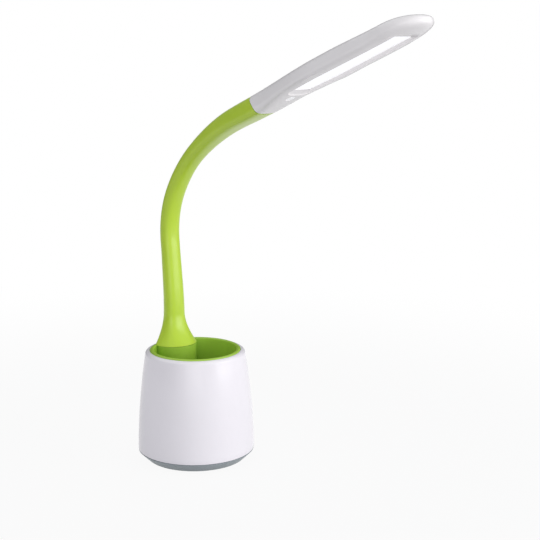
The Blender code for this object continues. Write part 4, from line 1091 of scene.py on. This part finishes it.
def placed_ring(along, points):
    """Set a section's points on the centreline, slanted as the joint with the head is."""
    end = NECK_LENGTH - GAP / 2
    lean = SLANT * eased(along, end - SLANT_FADE, end)
    place = neck_frame(along)
    return [tuple(place @ Vector((-z * lean, y, z))) for y, z in points]


def sleeve_rings(start, end):
    """Outer rings up the sleeve and bore rings down it, closed to a tube."""
    steps = round((end - start) / RING_STEP)
    stops = [between(start, end, k / steps) for k in range(steps + 1)]
    rings = [placed_ring(along, sleeve_section(along)) for along in stops]
    bore = section(BORE_RADIUS, BORE_RADIUS, BORE_RADIUS, 2, 2)
    inner = [placed_ring(along, bore) for along in stops[::-3]]
    if stops[::-3][-1] != start:
        inner.append(placed_ring(start, bore))
    return rings + inner + rings[:1]


seams = [GAP] + [between(low, high, 0.5) for low, high in zip(PIVOTS, PIVOTS[1:])]
seams.append(NECK_LENGTH - GAP / 2)
for number, pivot in enumerate(PIVOTS):
    piece = lofted(f"silicone_sleeve_{number + 1}", sleeve_rings(seams[number], seams[number + 1]))
    nodes = [f"sleeve_{number + 1}"] + (["sleeve_foot"] if number == 0 else [])
    finish_piece(piece, lime_silicone, None, "lime_silicone", *nodes)
    x, z = centreline(pivot - BLEND_REACH)[:2]
    x, z = centreline(pivot + BLEND_REACH)[:2]
    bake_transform(piece)

# %% [markdown]
# ## The head's form
#
# The head is a flat, slightly tapering blade with a rounded back, a flat
# underside and a blunt nose. Its width, its height above and its depth below
# the axis change along it by smooth steps, and near the tip they follow a
# quarter circle.

# %% The head's size along its axis
HEAD_LENGTH = 221 * MM
HEAD_HALF_WIDTH = 25.5 * MM
HEAD_TIP_HALF_WIDTH = 24.7 * MM
HEAD_TOP = 10.4 * MM
HEAD_TOP_TIP = 8.6 * MM
HEAD_BOTTOM = 7 * MM
WIDEN_LENGTH = 105 * MM
WIDEN_LEAD = 26 * MM
SLIM_LENGTH = 70 * MM
UNDERSIDE_LENGTH = 60 * MM
NOSE_LENGTH = 32 * MM
TOP_NOSE_LENGTH = 31 * MM
TOP_NOSE_ROUNDING = 1.05
UNDER_NOSE_ROUNDING = 0.48
NOSE_START = HEAD_LENGTH - NOSE_LENGTH


def rounding_off(along, length):
    """1 up to this length from the nose's end, and from there a quarter circle down to 0."""
    share = max(along - (HEAD_LENGTH - length), 0) / length
    return math.sqrt(max(1 - share**2, 0.0001))


def head_shape(along):
    """Half width, height above and depth below the head's axis, at this distance along it."""
    widen = eased(along, -WIDEN_LEAD, WIDEN_LENGTH)
    begun = eased(0, -WIDEN_LEAD, WIDEN_LENGTH)
    widen = max(widen - begun, 0) / (1 - begun)
    slim = eased(along, NOSE_START - SLIM_LENGTH, NOSE_START)
    half_width = between(between(END[0], HEAD_HALF_WIDTH, widen), HEAD_TIP_HALF_WIDTH, slim)
    up = between(between(END[2], HEAD_TOP, widen), HEAD_TOP_TIP, slim)
    down = between(END[1], HEAD_BOTTOM, eased(along, 0, UNDERSIDE_LENGTH))
    half_width *= rounding_off(along, NOSE_LENGTH)
    up *= rounding_off(along, TOP_NOSE_LENGTH) ** TOP_NOSE_ROUNDING
    down *= rounding_off(along, NOSE_LENGTH) ** UNDER_NOSE_ROUNDING
    return half_width, up, down


print("head, middle:", [round(size / MM, 1) for size in head_shape(HEAD_LENGTH / 2)], "mm")

# %% [markdown]
# ## Rings of the head
#
# The near end is cut at a slant to meet the sleeve. The rings stand close
# together where the form turns quickly, at the rounded near end and at the
# nose. A subdivision surface would give a similar blade, but not its exact
# sizes.

# %% Rings of the head
TOP_SQUARENESS = 2.7
BOTTOM_SQUARENESS = 4.2
NOSE_SQUARENESS = 2.3
NOSE_SOFTENING = 60 * MM
HEAD_POINTS = 128
END_ROUNDING = 1.2 * MM
END_STEPS = 4
SIDE_STEPS = 60
NOSE_STEPS = 24
HEAD_FRAME = neck_frame(NECK_LENGTH)


def in_head(x, y, z):
    """A point given in the head's frame, as a place in the lamp's frame."""
    return HEAD_FRAME @ Vector((x, y, z))


def head_ring(along, inset=0.0):
    """One ring of the head in the lamp's frame, slanted near the neck."""
    half_width, up, down = (size - inset for size in head_shape(along))
    blend = eased(along, 0, WIDEN_LENGTH / 2)
    top_square = between(END_SQUARENESS, TOP_SQUARENESS, blend)
    low_square = between(END_UNDER_SQUARENESS, BOTTOM_SQUARENESS, blend)
    nose = eased(along, HEAD_LENGTH - NOSE_SOFTENING, HEAD_LENGTH - NOSE_LENGTH / 2)
    low_square = between(low_square, NOSE_SQUARENESS, nose)
    points = section(half_width, up, down, top_square, low_square, HEAD_POINTS)
    lean = SLANT * (1 - eased(along, 0, SLANT_FADE))
    return [tuple(in_head(along - z * lean, y, z)) for y, z in points]


def head_form(name):
    """The whole outside of the head as one closed form."""
    edge_turns = [math.pi / 2 * k / END_STEPS for k in range(END_STEPS)]
    edge = [(1 - math.cos(turn), 1 - math.sin(turn)) for turn in edge_turns]
    rings = [head_ring(GAP / 2 + END_ROUNDING * go, END_ROUNDING * inset) for go, inset in edge]
    start = GAP / 2 + END_ROUNDING
    stops = [between(start, NOSE_START, k / SIDE_STEPS) for k in range(SIDE_STEPS)]
    turns = [math.radians(89.5) * (k / NOSE_STEPS) for k in range(NOSE_STEPS + 1)]
    stops += [NOSE_START + NOSE_LENGTH * math.sin(turn) for turn in turns]
    return lofted(name, rings + [head_ring(along) for along in stops], capped=True)


# %% [markdown]
# ## Splitting the head
#
# The head is two mouldings of the same form. Bisect cuts it at the parting
# line and throws one side away. Solidify then gives the open skin the wall of
# the moulding, inwards, so the outside keeps its size. A passage for the lead
# goes through both.

# %% Splitting the head
HEAD_WALL = 1.8 * MM
PARTING_Z = -4.2 * MM
PASSAGE_RADIUS = 4.9 * MM
PASSAGE_ENDS = (-20 * MM, 6.8 * MM)


def head_half(name, keep_upper):
    """The part of the head above or below the parting line, as a shell."""
    piece = head_form(name)
    bpy.ops.object.mode_set(mode="EDIT")
    bpy.ops.mesh.select_all(action="SELECT")
    bpy.ops.mesh.bisect(
        plane_co=in_head(0, 0, PARTING_Z),
        plane_no=HEAD_FRAME.to_3x3() @ Vector((0, 0, 1)),
        clear_inner=keep_upper,
        clear_outer=not keep_upper,
    )
    bpy.ops.object.mode_set(mode="OBJECT")
    wall = piece.modifiers.new("wall", "SOLIDIFY")
    wall.thickness = HEAD_WALL
    wall.offset = -1
    wall.use_even_offset = True
    bpy.ops.object.modifier_apply(modifier=wall.name)
    return piece


passage = rod("passage", PASSAGE_RADIUS, *(in_head(x, 0, 0) for x in PASSAGE_ENDS))
head_cover = head_half("white_head_cover", True)
cut(head_cover, passage, keep_tool=True)
finish_piece(head_cover, neutral_white, "head", "gloss_white", "head_cover")

# %% [markdown]
# ## Outlines of the window
#
# The window, the panel and the collar have long outlines that are widest at a
# shoulder. Their corners are arcs in the outline itself, because a bevel after
# the loft would also round the edges of the cut.

# %% Outlines of the window
SHOULDER = 94 * MM
CORNER_STEPS = 12


def filleted(corners, radius):
    """A closed outline through these corners, each rounded by an arc of this radius."""
    outline = []
    for k, corner in enumerate(corners):
        here = Vector(corner)
        before = (Vector(corners[k - 1]) - here).normalized()
        after = (Vector(corners[(k + 1) % len(corners)]) - here).normalized()
        half = before.angle(after) / 2
        centre = here + (before + after).normalized() * radius / math.sin(half)
        start = here + before * radius / math.tan(half) - centre
        end = here + after * radius / math.tan(half) - centre
        for step in range(CORNER_STEPS + 1):
            spoke = start.lerp(end, step / CORNER_STEPS).normalized()
            outline.append(centre + spoke * radius)
    return outline


def long_outline(ends, halves, corner, height, margin=0.0):
    """A long outline that is widest at its shoulder, at this height in the head's frame."""
    start, shoulder, end = halves
    side = [
        (ends[0] - margin, start + margin),
        (SHOULDER, shoulder + margin),
        (ends[1] + margin, end + margin),
    ]
    corners = [(x, -y) for x, y in side] + side[::-1]
    return [tuple(in_head(x, y, height)) for x, y in filleted(corners, corner + margin)]


# %% [markdown]
# ## The underside and its light window
#
# The bezel closes the head from below. At both ends of its window the floor
# slopes up to the skin in a ramp with a round end. The opening is deeper than
# the moulding's wall, so a collar round it stands up inside the head, and the
# panel lies on the collar's ledge. The cutter is a loft between two outlines,
# a long one at the skin and a shorter one at the ledge. Each form is its two
# ends, its three half widths and its corners.

# %% The underside
PANEL_FORM = ((55 * MM, 193 * MM), (12 * MM, 19.6 * MM, 15 * MM), 4 * MM)
OPENING_FORM = ((56 * MM, 190 * MM), (12.6 * MM, 14.8 * MM, 13.2 * MM), 3 * MM)
MOUTH_FORM = ((49.5 * MM, 204.5 * MM), (13 * MM, 15.2 * MM, 13.6 * MM), 9 * MM)
WINDOW_DEPTH = 3.2 * MM
COLLAR_MARGIN = 3 * MM
SEAT_MARGIN = 2.1 * MM
SKIN_Z = -HEAD_BOTTOM
LEDGE_Z = SKIN_Z + WINDOW_DEPTH
PANEL_PLAY = 0.1 * MM
PANEL_THICKNESS = 1.1 * MM
PANEL_LOW = LEDGE_Z + PANEL_PLAY
PANEL_HIGH = PANEL_LOW + PANEL_THICKNESS
COLLAR_DROP = 0.3 * MM
MOUTH_DEPTH = 0.15 * MM
LEDGE_LIP = 0.35 * MM
TOUCH_X = 40.5 * MM
TOUCH_RADIUS = 4.3 * MM
TOUCH_GAP = 0.15 * MM


def panel_block(name, margin, heights):
    """An upright block with the panel's outline, widened by a margin."""
    rings = [long_outline(*PANEL_FORM, height, margin) for height in heights]
    return lofted(name, rings, capped=True)


bezel = head_half("white_head_bezel", False)
cut(bezel, passage)
collar_heights = (SKIN_Z + HEAD_WALL / 2, PANEL_HIGH - COLLAR_DROP)
cut(bezel, panel_block("collar", COLLAR_MARGIN, collar_heights), "UNION")
window = lofted(
    "window",
    [
        long_outline(*MOUTH_FORM, SKIN_Z - 1 * MM),
        long_outline(*MOUTH_FORM, SKIN_Z + MOUTH_DEPTH),
        long_outline(*OPENING_FORM, LEDGE_Z - LEDGE_LIP),
        long_outline(*OPENING_FORM, 0),
    ],
    capped=True,
)
cut(bezel, window)
cut(bezel, panel_block("seat", SEAT_MARGIN, (LEDGE_Z, 0)))
touch_low, touch_high = in_head(TOUCH_X, 0, -20 * MM), in_head(TOUCH_X, 0, 0)
cut(bezel, rod("touch_hole", TOUCH_RADIUS + TOUCH_GAP, touch_low, touch_high))
finish_piece(bezel, neutral_white, "head", "gloss_white", "head_bezel")

# %% [markdown]
# ## The panel in its seat
#
# The opal panel lies in its seat just inside the window. It is lofted from the
# same outline, with a small chamfer at its lower edge.

# %% The panel in its seat
PANEL_LAP = 1.8 * MM
PANEL_EDGE = 0.2 * MM
panel = lofted(
    "opal_panel",
    [
        long_outline(*PANEL_FORM, PANEL_LOW, PANEL_LAP - PANEL_EDGE),
        long_outline(*PANEL_FORM, PANEL_LOW + PANEL_EDGE, PANEL_LAP),
        long_outline(*PANEL_FORM, PANEL_HIGH, PANEL_LAP),
    ],
    capped=True,
)
finish_piece(panel, diffuser_white, "head", "diffuser_white", "diffuser")

# %% [markdown]
# ## Touch pad
#
# The touch pad is a small round button, slightly domed so that a finger finds
# it. It is turned upright and then moved into the head's frame.

# %% Touch pad
DOME = 0.25 * MM
DOME_SHARES = (0.9, 0.7, 0.4, 0)
pad_depth = head_shape(TOUCH_X)[2]
profile = [(0, -pad_depth + HEAD_WALL), (TOUCH_RADIUS, -pad_depth + HEAD_WALL)]
profile.append((TOUCH_RADIUS, -pad_depth + 0.1 * MM))
profile += [(TOUCH_RADIUS * share, -pad_depth - DOME * (1 - share**2)) for share in DOME_SHARES]
touch_pad = turned("touch_pad_cap", profile, centre=(TOUCH_X, 0), steps=48)
touch_pad.matrix_world = HEAD_FRAME
select_only(touch_pad)
bpy.ops.object.transform_apply(location=True, rotation=True, scale=True)
# Its pale finish carries a painted glow.
finish_piece(touch_pad, pale_grey, "head", "pale_grey", "touch_pad")

# %% [markdown]
# ## Floor
#
# The lamp stands on a pale floor. For the camera, and in reflections, the
# floor is white. Near the lamp it keeps a small part of its shading, so the
# shadow shows, and further out it is all white, so no horizon shows.


# %% Floor
def bare_tree(owner):
    """The emptied node tree of a material or a world."""
    owner.use_nodes = True
    owner.node_tree.nodes.clear()
    return owner.node_tree


def seen_directly(tree):
    """1 where the camera, a reflection or a view through something meets this, else 0."""
    path = add_node(tree, "LightPath", {})
    both = {0: path.outputs["Is Camera Ray"], 1: path.outputs["Is Glossy Ray"]}
    seen = add_node(tree, "Math", both, operation="MAXIMUM")
    all_three = {0: seen.outputs[0], 1: path.outputs["Is Transmission Ray"]}
    return add_node(tree, "Math", all_three, operation="MAXIMUM").outputs[0]


FLOOR_SIZE = 30
SHADOW_REACH = (0.25, 0.9)
WHITE_SHARE = (0.93, 1.0)
floor = begin(bpy.ops.mesh.primitive_plane_add, "floor", size=FLOOR_SIZE)
bpy.ops.mesh.subdivide(number_cuts=4)
bpy.ops.object.mode_set(mode="OBJECT")
floor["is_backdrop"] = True
floor_finish = bpy.data.materials.new("white_matt_floor")
tree = bare_tree(floor_finish)
place = add_node(tree, "TexCoord", {}).outputs["Object"]
distance = add_node(tree, "VectorMath", {0: place}, operation="LENGTH")
fade = dict(zip(("From Min", "From Max", "To Min", "To Max"), SHADOW_REACH + WHITE_SHARE))
fade["Value"] = distance.outputs["Value"]
white = add_node(tree, "MapRange", fade, interpolation_type="SMOOTHSTEP")
share = {0: seen_directly(tree), 1: white.outputs["Result"]}
white_share = add_node(tree, "Math", share, operation="MULTIPLY")
shaded = add_node(tree, "BsdfDiffuse", {"Color": linear("#BCBCBE")})
shining = add_node(tree, "Emission", {"Color": linear("#FFFFFF"), "Strength": 1.0})
mixed = {0: white_share.outputs[0], 1: shaded.outputs[0], 2: shining.outputs[0]}
blended = add_node(tree, "MixShader", mixed)
add_node(tree, "OutputMaterial", {"Surface": blended.outputs[0]})
floor.data.materials.append(floor_finish)
print("the floor is all white from", SHADOW_REACH[1], "m outwards")

# %% [markdown]
# ## World
#
# The world gives the even light of a white studio. Its light is weaker than
# the white that the camera sees, so the white plastic keeps its shading.

# %% World
AMBIENT = 0.72
world = bpy.data.worlds.new("studio")
bpy.context.scene.world = world
tree = bare_tree(world)
soft = add_node(tree, "Background", {"Color": linear("#F4F6FA"), "Strength": AMBIENT})
white = add_node(tree, "Background", {"Color": linear("#FFFFFF"), "Strength": 1.0})
mixed = {0: seen_directly(tree), 1: soft.outputs[0], 2: white.outputs[0]}
blended = add_node(tree, "MixShader", mixed)
add_node(tree, "OutputWorld", {"Surface": blended.outputs[0]})
print("ambient light", AMBIENT, "of white")

# %% [markdown]
# ## Soft lamps
#
# A large soft lamp on the right is the main light, and a weaker one near the
# camera fills the shadows. Both are far away and low, so the head isn't much
# brighter than the base.


# %% Soft lamps
def soft_lamp(name, place, aim, size, power):
    """A square area lamp at a place, turned towards a point."""
    bpy.ops.object.light_add(type="AREA", location=place)
    lamp = bpy.context.object
    lamp.name = name
    lamp.rotation_euler = (Vector(aim) - Vector(place)).to_track_quat("-Z", "Y").to_euler()
    lamp.data.shape = "SQUARE"
    lamp.data.size = size
    lamp.data.energy = power
    print(name, power, "W")


LAMP_AIM = (0.08, 0, 0.22)
soft_lamp("key_lamp", (2.2, 1.3, 0.45), LAMP_AIM, size=1.7, power=40.5)
soft_lamp("fill_lamp", (1.45, -1.2, 0.3), LAMP_AIM, size=1.2, power=8)
bpy.context.scene.view_settings.view_transform = "Standard"

# %% [markdown]
# ## A grey card
#
# White plastic on a white background loses its outline, because a smooth
# surface seen edge-on mirrors what stands behind it. Photographers put a dark
# card there. This one is a curved strip, cut from a ring, round the side away
# from the lights. It shows only in reflections, as a thin grey edge on the
# shell and the head.

# %% Grey card
CARD_DISTANCE = 1.5
CARD_HEIGHT = 1.3
CARD_END = (0.4, 0, 0)
card = begin(
    bpy.ops.mesh.primitive_circle_add,
    "grey_card",
    vertices=64,
    radius=CARD_DISTANCE,
    location=(0, 0, MM),
)
bpy.ops.mesh.extrude_region_move(TRANSFORM_OT_translate={"value": (0, 0, CARD_HEIGHT)})
bpy.ops.mesh.select_all(action="SELECT")
bpy.ops.mesh.bisect(plane_co=CARD_END, plane_no=(1, 0, 0), clear_outer=True)
bpy.ops.object.mode_set(mode="OBJECT")
card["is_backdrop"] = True
card_finish = bpy.data.materials.new("grey_card")
tree = bare_tree(card_finish)
grey = add_node(tree, "Emission", {"Color": linear("#303030"), "Strength": 1.0})
add_node(tree, "OutputMaterial", {"Surface": grey.outputs[0]})
card.data.materials.append(card_finish)
for kind in ("camera", "diffuse", "transmission", "shadow"):
    setattr(card, f"visible_{kind}", False)
print("grey card", CARD_DISTANCE, "m from the lamp,", len(card.data.polygons), "faces")

# %% Sizes and finish
low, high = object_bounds()
print("visual box in mm:", [round(side / MM, 1) for side in high - low])
